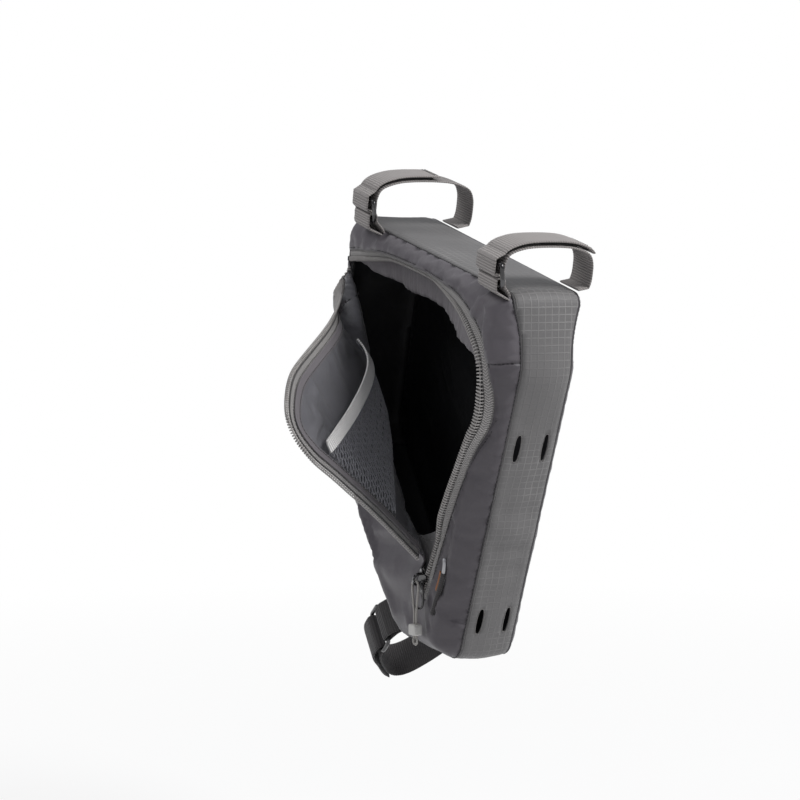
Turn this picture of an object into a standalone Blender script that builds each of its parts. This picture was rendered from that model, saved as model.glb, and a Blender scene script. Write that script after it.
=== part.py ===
"""Soft frame bag hung under a bicycle top tube, zip flap open, as separate sewn pieces.

Local frame in millimetres: x runs back along the top tube, y to the far side, z away from
the tube's underside. The whole bag is then leaned by the slope of the tube, so that world
down is down. The origin is the middle of the bag's top face between its two top straps.
"""
import math

import bpy
import bmesh
from mathutils import Matrix, Vector
from mathutils.geometry import delaunay_2d_cdt

MM = 0.001
TUBE_SLOPE = math.radians(12.0)
FLAP_OPEN = math.radians(54.0)

FABRIC = 1.5                 # shell of fabric and lining
GAP = 0.3                    # left between pieces that touch
BULGE = 33.0                 # half the thickness of the bag where it is fullest

WEBBING = 25.0               # width of the strap webbing
WEB_T = 1.6                  # its thickness
PAD_T = 1.0
RING_WIRE = 2.8
RING_RISE = 13.5             # between the two bars of a strap ring
STRAP_REAR_X = 91.5
STRAP_FRONT_X = -87.5
TUBE_REAR = (28.8, 26.8)     # half width and height of the tube under each strap
TUBE_FRONT = (34.5, 31.5)

ZIP_TEETH_IN = 0.9           # chain edge from the centre line of the zip
ZIP_TEETH_W = 3.0
ZIP_TEETH_T = 3.2
ZIP_PITCH = 6.0
ZIP_TAPE_FIXED = 8.5
ZIP_TAPE_FLAP = 11.0
TAPE_T = 1.0
ZIP_SAG = 7.0                # how far the free flap edge droops
FLAP_TRIM = (12.0, 8.0)      # of the flap's zip edge, clear of the fold at its two ends
ZIP_STEP = 4.2
TAPE_IN = ZIP_TEETH_IN + ZIP_TEETH_W + 0.4
SLIDER_LEN = 12.0
SLIDER_TOP = BULGE + 1.2     # height of the plates that ride over and under the chain
SLIDER_UNDER = BULGE - 2.6
SLIDER_PLATE = 1.4
BRIDGE_HOLE = 4.8            # clear height under the slider's bridge
BRIDGE_T = 1.2
PULL_WIRE = 0.8              # radius of the puller's wire
PULL_SIZE = (12.6, 17.4)
PULL_YAW = math.radians(8.0)
PULL_AT = (-1.9, 2.0)        # its top wire down the slider and above the plate
CORD_R = 0.75
CORD_DROP = 27.5             # from the puller's top wire to the bead
STRAND = 1.15                # half the spacing of the two strands in the bead
BEAD = (7.6, 6.2, 7.0)
TURN_R = 3.2                 # centre line of webbing turned round a ring bar

# corner x, z, radius, half width of the strip there, distance over which the side fills out
CORNERS = [
    (-128.0, 0.0, 16.0, 27.0, 12.0),
    (106.0, 0.0, 9.0, 22.0, 12.0),
    (115.0, -46.0, 34.0, 17.0, 13.0),
    (73.0, -250.0, 15.0, 17.5, 16.0),
    (0.0, -260.0, 14.0, 22.0, 18.0),
    (-134.0, -155.5, 16.0, 24.0, 14.0),
]
TOP_FRONT, TOP_REAR, KNEE, LOW_REAR, LOW_FRONT, NOSE = range(6)
FAR_REACH = 38.0             # the same distance on the far side, which is flatter

ZIP_PATH = [
    (-120, -32), (-97, -27), (-67, -22.5), (-34, -20), (0, -19), (30, -19.8), (50, -22),
    (66, -27), (81, -35), (90, -43), (95, -53), (96, -65), (93, -81), (86, -97), (78, -115),
    (70, -132), (62.6, -150), (57.067, -165.333), (51.533, -180.667), (46, -196),
]
HINGE_Y = -(BULGE + GAP / 2)
ZIP_TOP = Vector((-120.0, HINGE_Y, -32.0))
ZIP_LOW = Vector((46.0, HINGE_Y, -196.0))
ZIP_RUN = Vector((62.6 - 46.0, 0.0, -150.0 + 196.0)).normalized()
LEAN = Matrix.Rotation(TUBE_SLOPE, 3, 'Y')
HANG = LEAN.inverted() @ Vector((0, 0, -1))

MATERIALS = {
    'ripstop': (0.075, 0.072, 0.072, 0.75),
    'nylon': (0.085, 0.078, 0.085, 0.6),
    'lining': (0.02, 0.02, 0.021, 0.5),
    'webbing': (0.14, 0.128, 0.118, 0.85),
    'black_webbing': (0.022, 0.02, 0.021, 0.8),
    'hook_pad': (0.02, 0.019, 0.018, 0.95),
    'tape': (0.10, 0.096, 0.092, 0.85),
    'coil': (0.17, 0.16, 0.15, 0.4),
    'mesh': (0.13, 0.13, 0.14, 0.8),
    'elastic': (0.22, 0.21, 0.2, 0.85),
    'dark_metal': (0.06, 0.06, 0.062, 0.3),
    'cord': (0.42, 0.4, 0.37, 0.8),
    'bead': (0.55, 0.54, 0.52, 0.5),
    'reflective': (0.6, 0.6, 0.62, 0.3),
    'orange': (0.5, 0.17, 0.04, 0.8),
}


def clear_scene():
    for obj in list(bpy.data.objects):
        bpy.data.objects.remove(obj, do_unlink=True)


def material(name, key):
    r, g, b, rough = MATERIALS[key]
    mat = bpy.data.materials.new(name + '_mat')
    mat.use_nodes = True
    shader = mat.node_tree.nodes['Principled BSDF']
    shader.inputs['Base Color'].default_value = (r, g, b, 1.0)
    shader.inputs['Roughness'].default_value = rough
    shader.inputs['Metallic'].default_value = 1.0 if key == 'dark_metal' else 0.0
    return mat


def make(name, verts, faces, key, pivot=None, turn=None):
    """Object from local points in millimetres, its origin at pivot, turned about the hinge."""
    pivot = Vector(pivot) if pivot is not None else Vector((0, 0, 0))
    pts = [Vector(v) for v in verts]
    if turn is not None:
        pts = [turn @ p for p in pts]
    pts = [(LEAN @ (p - pivot)) * MM for p in pts]
    mesh = bpy.data.meshes.new(name)
    mesh.from_pydata(pts, [], faces)
    bm = bmesh.new()
    bm.from_mesh(mesh)
    bmesh.ops.recalc_face_normals(bm, faces=bm.faces)
    bm.to_mesh(mesh)
    bm.free()
    mesh.materials.append(material(name, key))
    obj = bpy.data.objects.new(name, mesh)
    obj.location = (LEAN @ pivot) * MM
    bpy.context.scene.collection.objects.link(obj)
    return obj


def cord(name, path, radius, key, pivot):
    """Round cord along local points, as a bevelled curve with filled ends."""
    curve = bpy.data.curves.new(name, 'CURVE')
    curve.dimensions = '3D'
    curve.bevel_depth = radius * MM
    curve.bevel_resolution = 2
    curve.use_fill_caps = True
    curve.render_resolution_u = 0
    spline = curve.splines.new('POLY')
    spline.points.add(len(path) - 1)
    for point, p in zip(spline.points, path):
        q = (LEAN @ (p - pivot)) * MM
        point.co = (q.x, q.y, q.z, 1.0)
    curve.materials.append(material(name, key))
    obj = bpy.data.objects.new(name, curve)
    obj.location = (LEAN @ pivot) * MM
    bpy.context.scene.collection.objects.link(obj)
    return obj


def boolean(obj, cutter, operation):
    mod = obj.modifiers.new('cut', 'BOOLEAN')
    mod.operation = operation
    mod.solver = 'EXACT'
    mod.object = cutter
    cutter.hide_render = True
    cutter.display_type = 'WIRE'


def catmull(points, step, closed=False):
    """Smooth curve through the points, sampled about every step."""
    pts = [Vector(p) for p in points]
    count = len(pts)
    out = []
    spans = count if closed else count - 1
    for i in range(spans):
        if closed:
            a, b, c, d = (pts[(i + k) % count] for k in (-1, 0, 1, 2))
        else:
            b, c = pts[i], pts[i + 1]
            a = pts[i - 1] if i else b * 2 - c
            d = pts[i + 2] if i + 2 < count else c * 2 - b
        parts = max(1, round((c - b).length / step))
        for k in range(parts):
            t = k / parts
            out.append(0.5 * ((2 * b) + (c - a) * t + (2 * a - 5 * b + 4 * c - d) * t * t
                              + (3 * b - a - 3 * c + d) * t ** 3))
    if not closed:
        out.append(pts[-1])
    return out


def resample(points, step):
    """Open polyline resampled at equal steps near the given one."""
    lengths = [0.0]
    for a, b in zip(points, points[1:]):
        lengths.append(lengths[-1] + (b - a).length)
    count = max(2, round(lengths[-1] / step) + 1)
    out = []
    k = 0
    for i in range(count):
        s = lengths[-1] * i / (count - 1)
        while k < len(points) - 2 and lengths[k + 1] < s:
            k += 1
        span = lengths[k + 1] - lengths[k]
        out.append(points[k].lerp(points[k + 1], (s - lengths[k]) / span))
    return out


def outline_points(step=11.0):
    """Rounded outline of the bag in (x, z), each point with half width, rise and edge index."""
    count = len(CORNERS)
    arcs = []
    for i, (x, z, radius, half, rise) in enumerate(CORNERS):
        here = Vector((x, z))
        prev = Vector(CORNERS[i - 1][:2])
        nxt = Vector(CORNERS[(i + 1) % count][:2])
        u, v = (prev - here).normalized(), (nxt - here).normalized()
        half_angle = u.angle(v) / 2
        reach = radius / math.tan(half_angle)
        centre = here + (u + v).normalized() * (radius / math.sin(half_angle))
        start, end = here + u * reach, here + v * reach
        a0 = math.atan2(start.y - centre.y, start.x - centre.x)
        a1 = math.atan2(end.y - centre.y, end.x - centre.x)
        turn = (a1 - a0 + math.pi) % (2 * math.pi) - math.pi
        parts = max(2, math.ceil(abs(turn) * radius / 5.0))
        arc = []
        for k in range(parts + 1):
            angle = a0 + turn * k / parts
            p = centre + Vector((math.cos(angle), math.sin(angle))) * radius
            arc.append((p.x, p.y, half, rise, i))
        arcs.append(arc)
    out = []
    for i, arc in enumerate(arcs):
        out.extend(arc)
        a, b = arc[-1], arcs[(i + 1) % count][0]
        gap = math.hypot(b[0] - a[0], b[1] - a[1])
        parts = max(1, round(gap / step))
        for k in range(1, parts):
            t = k / parts
            across = t * (2 - t) if i == TOP_REAR else t
            x, z, rise = (a[j] + (b[j] - a[j]) * t for j in (0, 1, 3))
            out.append((x, z, a[2] + (b[2] - a[2]) * across, rise, i))
    return out


OUTLINE = outline_points()


def at_outline(x, z):
    """Nearest outline point: distance, inward direction, half width and rise there."""
    best = None
    count = len(OUTLINE)
    for i in range(count):
        a, b = OUTLINE[i], OUTLINE[(i + 1) % count]
        ex, ez = b[0] - a[0], b[1] - a[1]
        t = ((x - a[0]) * ex + (z - a[1]) * ez) / (ex * ex + ez * ez)
        t = min(1.0, max(0.0, t))
        px, pz = a[0] + ex * t, a[1] + ez * t
        d = math.hypot(x - px, z - pz)
        if best is None or d < best[0]:
            length = math.hypot(ex, ez)
            if d > 1e-4:
                nx, nz = (x - px) / d, (z - pz) / d
            else:
                nx, nz = ez / length, -ex / length
            best = (d, nx, nz, a[2] + (b[2] - a[2]) * t, a[3] + (b[3] - a[3]) * t)
    return best


def side_point(x, z, depth=0.0, mitre=None, reach=None):
    """Point of the near side's surface, depth millimetres below it along its normal."""
    d, nx, nz, half, rise = at_outline(x, z)
    rise = reach or rise
    fill = BULGE - half
    if d < rise:
        height = half + fill * math.sin(math.pi / 2 * d / rise)
        slope = fill * math.pi / 2 / rise * math.cos(math.pi / 2 * d / rise)
    else:
        height, slope = BULGE, 0.0
    size = math.sqrt(1 + slope * slope)
    normal = Vector((slope * nx, 1.0, slope * nz)) / size
    base = Vector((x, -height, z))
    if mitre is not None:
        strip = Vector((mitre[0], 0, mitre[1]))
        step = (normal + strip) / (1 + normal.dot(strip))
        return base + step * depth
    return base + normal * depth


def strip_normal(index):
    """Inward in-plane normal of the strip at an outline point."""
    count = len(OUTLINE)
    a, b = OUTLINE[index - 1], OUTLINE[(index + 1) % count]
    run = Vector((b[0] - a[0], b[1] - a[1])).normalized()
    return Vector((run.y, -run.x))


def strip(name, indices, key):
    """Band between the two sides along the outline points, its edges mitred to the sides."""
    count = len(OUTLINE)
    outer, inner = [], []
    for n, i in enumerate(indices):
        x, z, half, rise, _ = OUTLINE[i % count]
        inward = strip_normal(i % count)
        run = Vector((-inward.y, inward.x))
        shift = 0.0
        if n == 0:
            shift = GAP / 2
        elif n == len(indices) - 1:
            shift = -GAP / 2
        flat = Vector((inward.x, 0, inward.y))
        row_out, row_in = [], []
        for t, reach in ((-1, rise), (1, FAR_REACH)):
            slope = (BULGE - half) * math.pi / 2 / reach
            side = Vector((slope * inward.x, 1.0, slope * inward.y)).normalized()
            step = (side + flat) / (1 + side.dot(flat))
            p = Vector((x + run.x * shift, (half - GAP / 2) * t, z + run.y * shift))
            row_out.append(p)
            row_in.append(p + Vector((step.x, -step.y * t, step.z)) * FABRIC)
        outer.append(row_out)
        inner.append(row_in)
    return shell(name, outer, inner, key)


def shell(name, outer, inner, key, pivot=None, turn=None):
    """Closed body between two grids of the same size."""
    rows, cols = len(outer), len(outer[0])
    verts = [p for row in outer for p in row] + [p for row in inner for p in row]
    base = rows * cols
    faces = []
    for i in range(rows - 1):
        for j in range(cols - 1):
            a, b, c, d = i * cols + j, i * cols + j + 1, (i + 1) * cols + j + 1, (i + 1) * cols + j
            faces.append((a, b, c, d))
            faces.append((base + d, base + c, base + b, base + a))
    rim = [j for j in range(cols)]
    rim += [i * cols + cols - 1 for i in range(1, rows)]
    rim += [(rows - 1) * cols + j for j in range(cols - 2, -1, -1)]
    rim += [i * cols for i in range(rows - 2, 0, -1)]
    for a, b in zip(rim, rim[1:] + rim[:1]):
        faces.append((b, a, base + a, base + b))
    return make(name, verts, faces, key, pivot, turn)


def inside(x, z, polygon):
    hit = False
    for a, b in zip(polygon, polygon[1:] + polygon[:1]):
        if (a[1] > z) != (b[1] > z) and x < (b[0] - a[0]) * (z - a[1]) / (b[1] - a[1]) + a[0]:
            hit = not hit
    return hit


def edge_distance(x, z, polygon):
    best = 1e9
    for a, b in zip(polygon, polygon[1:] + polygon[:1]):
        ex, ez = b[0] - a[0], b[1] - a[1]
        t = ((x - a[0]) * ex + (z - a[1]) * ez) / max(ex * ex + ez * ez, 1e-9)
        t = min(1.0, max(0.0, t))
        best = min(best, math.hypot(x - a[0] - ex * t, z - a[1] - ez * t))
    return best


def interior(polygon, pitch):
    """Points that carry the curve of the side near its edge, and a loose grid elsewhere."""
    pts = []
    for i, (x, z, _, rise, _) in enumerate(OUTLINE):
        inward = strip_normal(i)
        for d in (4.0, rise):
            pts.append((x + inward.x * d, z + inward.y * d))
    x0, x1 = min(p[0] for p in polygon), max(p[0] for p in polygon)
    z0, z1 = min(p[1] for p in polygon), max(p[1] for p in polygon)
    row = 0
    z = z0 + pitch / 2
    while z < z1:
        x = x0 + pitch / 2 * (1 + row % 2)
        while x < x1:
            if at_outline(x, z)[0] > 19.0:
                pts.append((x, z))
            x += pitch
        z += pitch * 0.87
        row += 1
    kept = []
    for p in pts:
        if inside(p[0], p[1], polygon) and edge_distance(p[0], p[1], polygon) > 2.2:
            if all(math.hypot(p[0] - q[0], p[1] - q[1]) > 2.2 for q in kept):
                kept.append(p)
    return kept


def panel(name, polygon, key, thick=FABRIC, depth=0.0, pitch=22.0, pivot=None, turn=None,
          mirror=False, lift=None):
    """Closed body of cloth cut to a polygon in (x, z) and laid on the curved side."""
    pts = list(polygon) + interior(polygon, pitch)
    loop = list(range(len(polygon)))
    coords, _, tris, _, _, _ = delaunay_2d_cdt(
        [Vector(p) for p in pts], [], [loop], 1, 1e-4)
    corners = [(c.x, c.y) for c in coords]
    outer, inner = [], []
    for x, z in corners:
        d, nx, nz, _, _ = at_outline(x, z)
        mitre = (nx, nz) if d < 0.4 else None
        extra = lift(x, z) if lift else 0.0
        reach = FAR_REACH if mirror else None
        outer.append(side_point(x, z, depth + extra, mitre, reach))
        inner.append(side_point(x, z, depth + extra + thick, mitre, reach))
    count = len(corners)
    faces = [tuple(t) for t in tris] + [tuple(count + i for i in reversed(t)) for t in tris]
    used = {}
    for t in tris:
        for a, b in zip(t, list(t[1:]) + [t[0]]):
            used[(a, b)] = True
    for a, b in used:
        if (b, a) not in used:
            faces.append((b, a, count + a, count + b))
    verts = outer + inner
    if mirror:
        verts = [Vector((v.x, -v.y, v.z)) for v in verts]
    return make(name, verts, faces, key, pivot, turn)


def offset_path(path, distance):
    """Path in (x, z) moved sideways, positive away from the middle of the opening."""
    out = []
    for i, p in enumerate(path):
        a, b = path[max(0, i - 1)], path[min(len(path) - 1, i + 1)]
        run = (b - a).normalized()
        out.append((p.x - run.y * distance, p.y + run.x * distance))
    return out


def zip_line(step, flap=False, trim=(0.0, 0.0)):
    """Centre line of the zip from its top to its foot; the flap's own edge droops a little."""
    fine = resample(catmull([Vector(p) for p in ZIP_PATH], 3.0), 1.5)
    total = len(fine) - 1
    if flap:
        fine = [Vector((p.x, p.y - ZIP_SAG * math.sin(math.pi * min(1.0, i / total / 0.6))))
                for i, p in enumerate(fine)]
    start, stop = round(trim[0] / 1.5), total - round(trim[1] / 1.5)
    return resample(fine[start:stop + 1], step)


def zip_band(name, path, near, far, depth, thick, key, pivot=None, turn=None):
    """Flat band on the side between two offsets of the zip's centre line."""
    lines = [offset_path(path, d) for d in (near, far)]
    outer = [[side_point(line[i][0], line[i][1], depth) for line in lines]
             for i in range(len(path))]
    inner = [[side_point(line[i][0], line[i][1], depth + thick) for line in lines]
             for i in range(len(path))]
    return shell(name, outer, inner, key, pivot, turn)


def zip_teeth(name, path, sign, key, pivot=None, turn=None):
    """One side of the coil as a comb: a spine with a tooth on every pitch."""
    base = ZIP_TEETH_IN + 0.9
    spine = offset_path(path, sign * (ZIP_TEETH_IN + ZIP_TEETH_W))
    tip = offset_path(path, sign * ZIP_TEETH_IN)
    root = offset_path(path, sign * base)
    outer, inner = [], []
    for i in range(len(path)):
        lead = tip if i % 4 in (0, 1) else root
        row = [lead[i], spine[i]]
        outer.append([side_point(x, z, -0.9) for x, z in row])
        inner.append([side_point(x, z, -0.9 + ZIP_TEETH_T) for x, z in row])
    return shell(name, outer, inner, key, pivot, turn)


def sweep(name, path, section, key, pivot=None, turn=None, closed=False, up=None):
    """Tube of a given (u, v) section along a path, with its ends capped unless closed."""
    rings = []
    count = len(path)
    for i, p in enumerate(path):
        if closed:
            run = (path[(i + 1) % count] - path[i - 1]).normalized()
        else:
            run = (path[min(count - 1, i + 1)] - path[max(0, i - 1)]).normalized()
        side = run.cross(up).normalized()
        top = side.cross(run)
        rings.append([p + side * u + top * v for u, v in section])
    return loft(name, rings, key, pivot, turn, closed)


def loft(name, rings, key, pivot=None, turn=None, closed=False):
    size = len(rings[0])
    verts = [p for ring in rings for p in ring]
    faces = []
    last = len(rings) if closed else len(rings) - 1
    for i in range(last):
        n = (i + 1) % len(rings)
        for j in range(size):
            k = (j + 1) % size
            faces.append((i * size + j, i * size + k, n * size + k, n * size + j))
    if not closed:
        faces.append(tuple(reversed(range(size))))
        faces.append(tuple((len(rings) - 1) * size + j for j in range(size)))
    return make(name, verts, faces, key, pivot, turn)


def circle(radius, parts=8):
    return [(radius * math.cos(2 * math.pi * k / parts), radius * math.sin(2 * math.pi * k / parts))
            for k in range(parts)]


def rounded_loop(width, height, radius, parts=4):
    """Rounded rectangle, as (u, v) points."""
    out = []
    for cx, cy, a0 in ((1, 1, 0), (-1, 1, 90), (-1, -1, 180), (1, -1, 270)):
        for k in range(parts + 1):
            a = math.radians(a0 + 90 * k / parts)
            out.append((cx * (width / 2 - radius) + radius * math.cos(a),
                        cy * (height / 2 - radius) + radius * math.sin(a)))
    return out


def box(name, centre, axes, sizes, key, pivot=None, turn=None):
    verts = []
    for sx, sy, sz in ((-1, -1, -1), (1, -1, -1), (1, 1, -1), (-1, 1, -1),
                       (-1, -1, 1), (1, -1, 1), (1, 1, 1), (-1, 1, 1)):
        verts.append(Vector(centre) + axes[0] * (sx * sizes[0] / 2) + axes[1] * (sy * sizes[1] / 2)
                     + axes[2] * (sz * sizes[2] / 2))
    faces = [(0, 3, 2, 1), (4, 5, 6, 7), (0, 1, 5, 4), (1, 2, 6, 5), (2, 3, 7, 6), (3, 0, 4, 7)]
    return make(name, verts, faces, key, pivot, turn)


def flap_turn():
    """Rotation that opens the flap about the fold between the two ends of its zip."""
    axis = (ZIP_LOW - ZIP_TOP).normalized()
    spin = Matrix.Rotation(FLAP_OPEN, 4, axis)
    probe = spin @ Vector((1, 0, 1))
    if probe.y > 0:
        spin = Matrix.Rotation(-FLAP_OPEN, 4, axis)
    return Matrix.Translation(ZIP_TOP) @ spin @ Matrix.Translation(-ZIP_TOP)


def index_near(x, z):
    return min(range(len(OUTLINE)), key=lambda i: math.hypot(OUTLINE[i][0] - x, OUTLINE[i][1] - z))


def between(first, last):
    count = len(OUTLINE)
    if last < first:
        last += count
    return list(range(first, last + 1))


def outline_run(first, last, inset=GAP / 2):
    """Outline points from one index to another, moved in from the seam."""
    out = []
    for i in between(first, last):
        x, z = OUTLINE[i % len(OUTLINE)][:2]
        inward = strip_normal(i % len(OUTLINE))
        out.append((x + inward.x * inset, z + inward.y * inset))
    return out


def build_strips():
    top_a = index_near(-112.0, 0.0)
    top_b = index_near(96.0, 0.0)
    low_a = index_near(22.0, -257.0)
    nose_a = index_near(-6.0, -255.3)
    nose_b = index_near(-121.0, -165.6)
    strip('top_panel', between(top_a, top_b), 'ripstop')
    gusset = strip('rear_gusset', between(top_b, low_a), 'ripstop')
    strip('bottom_panel', between(low_a, nose_a), 'nylon')
    strip('downtube_panel', between(nose_a, nose_b), 'nylon')
    strip('front_panel', between(nose_b, top_a), 'nylon')
    cut_slots(gusset)


def cut_slots(gusset):
    """Four lens-shaped lash slots, a pair high and a pair low on the rear gusset."""
    low_rear, knee = Vector(CORNERS[LOW_REAR][:2]), Vector(CORNERS[KNEE][:2])
    run = (knee - low_rear).normalized()
    up = Vector((run.x, 0, run.y))
    out = Vector((run.y, 0, -run.x))
    for z, length in ((-97.5, 19.0), (-219.5, 19.0)):
        t = (z - low_rear.y) / run.y
        mid = low_rear + run * t
        for y in (-9.5, 9.5):
            ring = []
            for k in range(12):
                a = 2 * math.pi * k / 12
                ring.append((math.cos(a) * length / 2, math.sin(a) * 1.7 * abs(math.sin(a)) ** 0.4))
            centre = Vector((mid.x, y, mid.y))
            rings = [[centre + up * u + Vector((0, 1, 0)) * v + out * w for u, v in ring]
                     for w in (-5.0, 5.0)]
            cutter = loft('slot_cutter', rings, 'lining')
            boolean(gusset, cutter, 'DIFFERENCE')


def build_sides(turn):
    fixed = zip_line(ZIP_STEP)
    lip = offset_path(fixed, ZIP_TAPE_FIXED + GAP)
    corner = min(range(len(lip)), key=lambda i: math.hypot(lip[i][0] - 100, lip[i][1] + 44))
    seam = index_near(114.0, -41.0)
    front = index_near(-129.2, -32.0)
    fold_axis = (ZIP_LOW - ZIP_TOP).normalized()
    fold = Vector((fold_axis.x, fold_axis.z))
    down = Vector((fold.y, -fold.x))
    if down.y > 0:
        down = -down
    run = Vector((ZIP_RUN.x, ZIP_RUN.z))
    across = Vector((-run.y, run.x))
    upper = outline_run(front, seam) + [lip[corner]]
    upper += [lip[i] for i in range(corner - 1, -1, -1)]
    panel('near_top_panel', upper, 'nylon')
    start = Vector((ZIP_TOP.x, ZIP_TOP.z))
    foot = Vector((ZIP_LOW.x, ZIP_LOW.z))
    notch = 19.0
    low_left = foot - run * notch + across * 8.5
    low_right = foot - run * notch - across * (ZIP_TAPE_FIXED + GAP)
    top_left = foot - fold * 9.5 + down * GAP / 2
    lower = outline_run(seam, front)
    drop = 2 * GAP
    lower[0] = (lower[0][0], lower[0][1] - drop)
    lower[-1] = (lower[-1][0], lower[-1][1] - drop)
    begin = (fixed[1] - fixed[0]).normalized()
    aside = Vector((-begin.y, begin.x))
    lower += [tuple(start - begin * 0.4 + aside * (ZIP_TAPE_FIXED - 1.2))]
    fold_line = resample([start - begin * 0.4 + down * GAP / 2, top_left], 9.0)
    lower += [(p.x, p.y) for p in fold_line]
    lower += [tuple(low_left), tuple(low_right)]
    lower += [lip[i] for i in range(len(lip) - 1, corner, -1)]
    lower += [(lip[corner][0], lip[corner][1] - drop)]
    panel('near_lower_panel', lower, 'nylon')
    panel('far_side_panel', outline_run(0, len(OUTLINE) - 1), 'nylon', pitch=17.0, mirror=True)

    inner = offset_path(zip_line(ZIP_STEP, flap=True, trim=FLAP_TRIM), -(ZIP_TAPE_FLAP + GAP))
    up = -down
    flap_poly = []
    for p in resample([foot - fold * 14.0 + up * GAP / 2, start + up * GAP / 2 + fold * 15.0], 9.0):
        flap_poly.append((p.x, p.y))
    flap_poly += inner
    panel('zip_flap', flap_poly, 'nylon', thick=2.0, pivot=ZIP_TOP, turn=turn)


def build_zip(turn):
    fixed = zip_line(ZIP_STEP)
    tail = [p.copy() for p in fixed]
    run = Vector((ZIP_RUN.x, ZIP_RUN.z))
    tail += [tail[-1] - run * 6.0, tail[-1] - run * 12.0, tail[-1] - run * 18.6]
    zip_band('zip_tape_fixed', tail, TAPE_IN, ZIP_TAPE_FIXED, 0.2, TAPE_T, 'tape')
    chain = zip_line(ZIP_PITCH / 4, trim=(3.0, 0.0))
    below = [chain[-1] - run * (ZIP_PITCH / 4 * k) for k in range(1, 10)]
    zip_teeth('zip_teeth_fixed', chain + below, 1, 'coil')
    zip_teeth('zip_teeth_foot', below, -1, 'coil')
    loose = zip_line(ZIP_STEP, flap=True, trim=FLAP_TRIM)
    zip_band('zip_tape_flap', loose, -(TAPE_IN), -ZIP_TAPE_FLAP, 0.2, TAPE_T,
             'tape', ZIP_TOP, turn)
    zip_teeth('zip_teeth_flap', zip_line(ZIP_PITCH / 4, flap=True, trim=FLAP_TRIM), -1, 'coil',
              ZIP_TOP, turn)


def webbing(name, path, frame, key, thick=WEB_T, width=WEBBING, pivot=None, turn=None):
    """Flat band of webbing along a path of (a, b) points in a frame of origin, width, a, b."""
    origin, wide, along_a, along_b = frame
    rings = []
    for i, p in enumerate(path):
        a, b = path[max(0, i - 1)], path[min(len(path) - 1, i + 1)]
        run = (b - a).normalized()
        normal = Vector((-run.y, run.x))
        ring = []
        for w, t in ((-0.5, 0.5), (0.5, 0.5), (0.5, -0.5), (-0.5, -0.5)):
            q = p + normal * (t * thick)
            ring.append(origin + wide * (w * width) + along_a * q.x + along_b * q.y)
        rings.append(ring)
    return loft(name, rings, key, pivot, turn)


def section_path(half, height, offset, step=4.0):
    """The tube's outline from the far side over the top to the near side, moved outward."""
    right = [(0.955, 0.10), (0.99, 0.24), (1.0, 0.44), (0.985, 0.66), (0.89, 0.84), (0.6, 0.955),
             (0.25, 0.995)]
    pts = [Vector((half * y, height * z)) for y, z in right]
    pts += [Vector((-p.x, p.y)) for p in reversed(pts)]
    fine = catmull(pts, step)
    out = []
    for i, p in enumerate(fine):
        a, b = fine[max(0, i - 1)], fine[min(len(fine) - 1, i + 1)]
        run = (b - a).normalized()
        out.append(p + Vector((run.y, -run.x)) * offset)
    return out


def arc_points(centre, radius, first, last, parts=6):
    out = []
    for k in range(parts + 1):
        a = math.radians(first + (last - first) * k / parts)
        out.append(Vector((centre.x + radius * math.cos(a), centre.y + radius * math.sin(a))))
    return out


def strap_ring(name, frame, first, second):
    """Rectangular wire ring whose long bars pass through two (a, b) points."""
    origin, wide, along_a, along_b = frame
    mid = (first + second) / 2
    rise = (second - first).normalized()
    tall = along_a * rise.x + along_b * rise.y
    loop = rounded_loop(WEBBING + 1.4 + RING_WIRE, (second - first).length, 3.0, 3)
    centre = origin + along_a * mid.x + along_b * mid.y
    path = [centre + wide * u + tall * v for u, v in loop]
    pivot = origin + along_a * first.x + along_b * first.y
    return sweep(name, path, circle(RING_WIRE / 2, 6), 'dark_metal', pivot, closed=True,
                 up=wide.cross(tall))


def top_strap(label, x, tube, bar_z, tip_y, edge):
    """Tab, ring, strap and folded-back tail that tie the bag to the top tube."""
    half, height = tube
    frame = (Vector((x, 0, 0)), Vector((1, 0, 0)), Vector((0, 1, 0)), Vector((0, 0, 1)))
    bar = Vector((-(half + 4.2), bar_z))
    foot_bar = Vector((bar.x + 2.0, bar_z - RING_RISE))
    strap_ring(label + '_strap_ring', frame, foot_bar, bar)
    reach = 2.6
    low = GAP + WEB_T / 2
    root_y = 1.0 - edge
    tab = [Vector((root_y, low))] + arc_points(foot_bar, reach, 250, 0, 8)
    tab += [Vector(((foot_bar.x + reach) / 2 - 13.0, 3.9)), Vector((root_y, low + WEB_T + GAP))]
    webbing(label + '_strap_tab', tab, frame, 'webbing')

    under = section_path(half, height, 0.4 + WEB_T / 2)
    under = [p for p in under if p.x > 0 or p.y > bar_z + 3.0]
    rise = (under[0] - Vector((edge, 1.0))).normalized()
    strap = [Vector((edge, GAP + rise.x * WEB_T / 2))] + under
    strap += arc_points(bar, TURN_R, 0, -180, 8)
    webbing(label + '_strap', strap, frame, 'webbing')

    over = section_path(half, height, 0.4 + 1.5 * WEB_T + PAD_T + 2 * GAP)
    over = [p for p in over if p.y > bar_z + 5.0 and p.x < tip_y]
    root = Vector((bar.x - TURN_R, bar_z + 0.6))
    over.reverse()
    pivot = Vector((x, root.x - WEB_T / 2 - 0.1, root.y))
    webbing(label + '_strap_tail', [root, root + Vector((0, 2.5))] + over, frame, 'webbing',
            pivot=pivot)
    pad = section_path(half, height, 0.4 + WEB_T + GAP + PAD_T / 2)
    pad = [p for p in pad if p.y > bar_z + 6.0 and p.x < tip_y - 4.0]
    pad.reverse()
    webbing(label + '_hook_pad', pad, frame, 'hook_pad', thick=PAD_T,
            width=WEBBING - 3.0, pivot=pivot)


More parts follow.
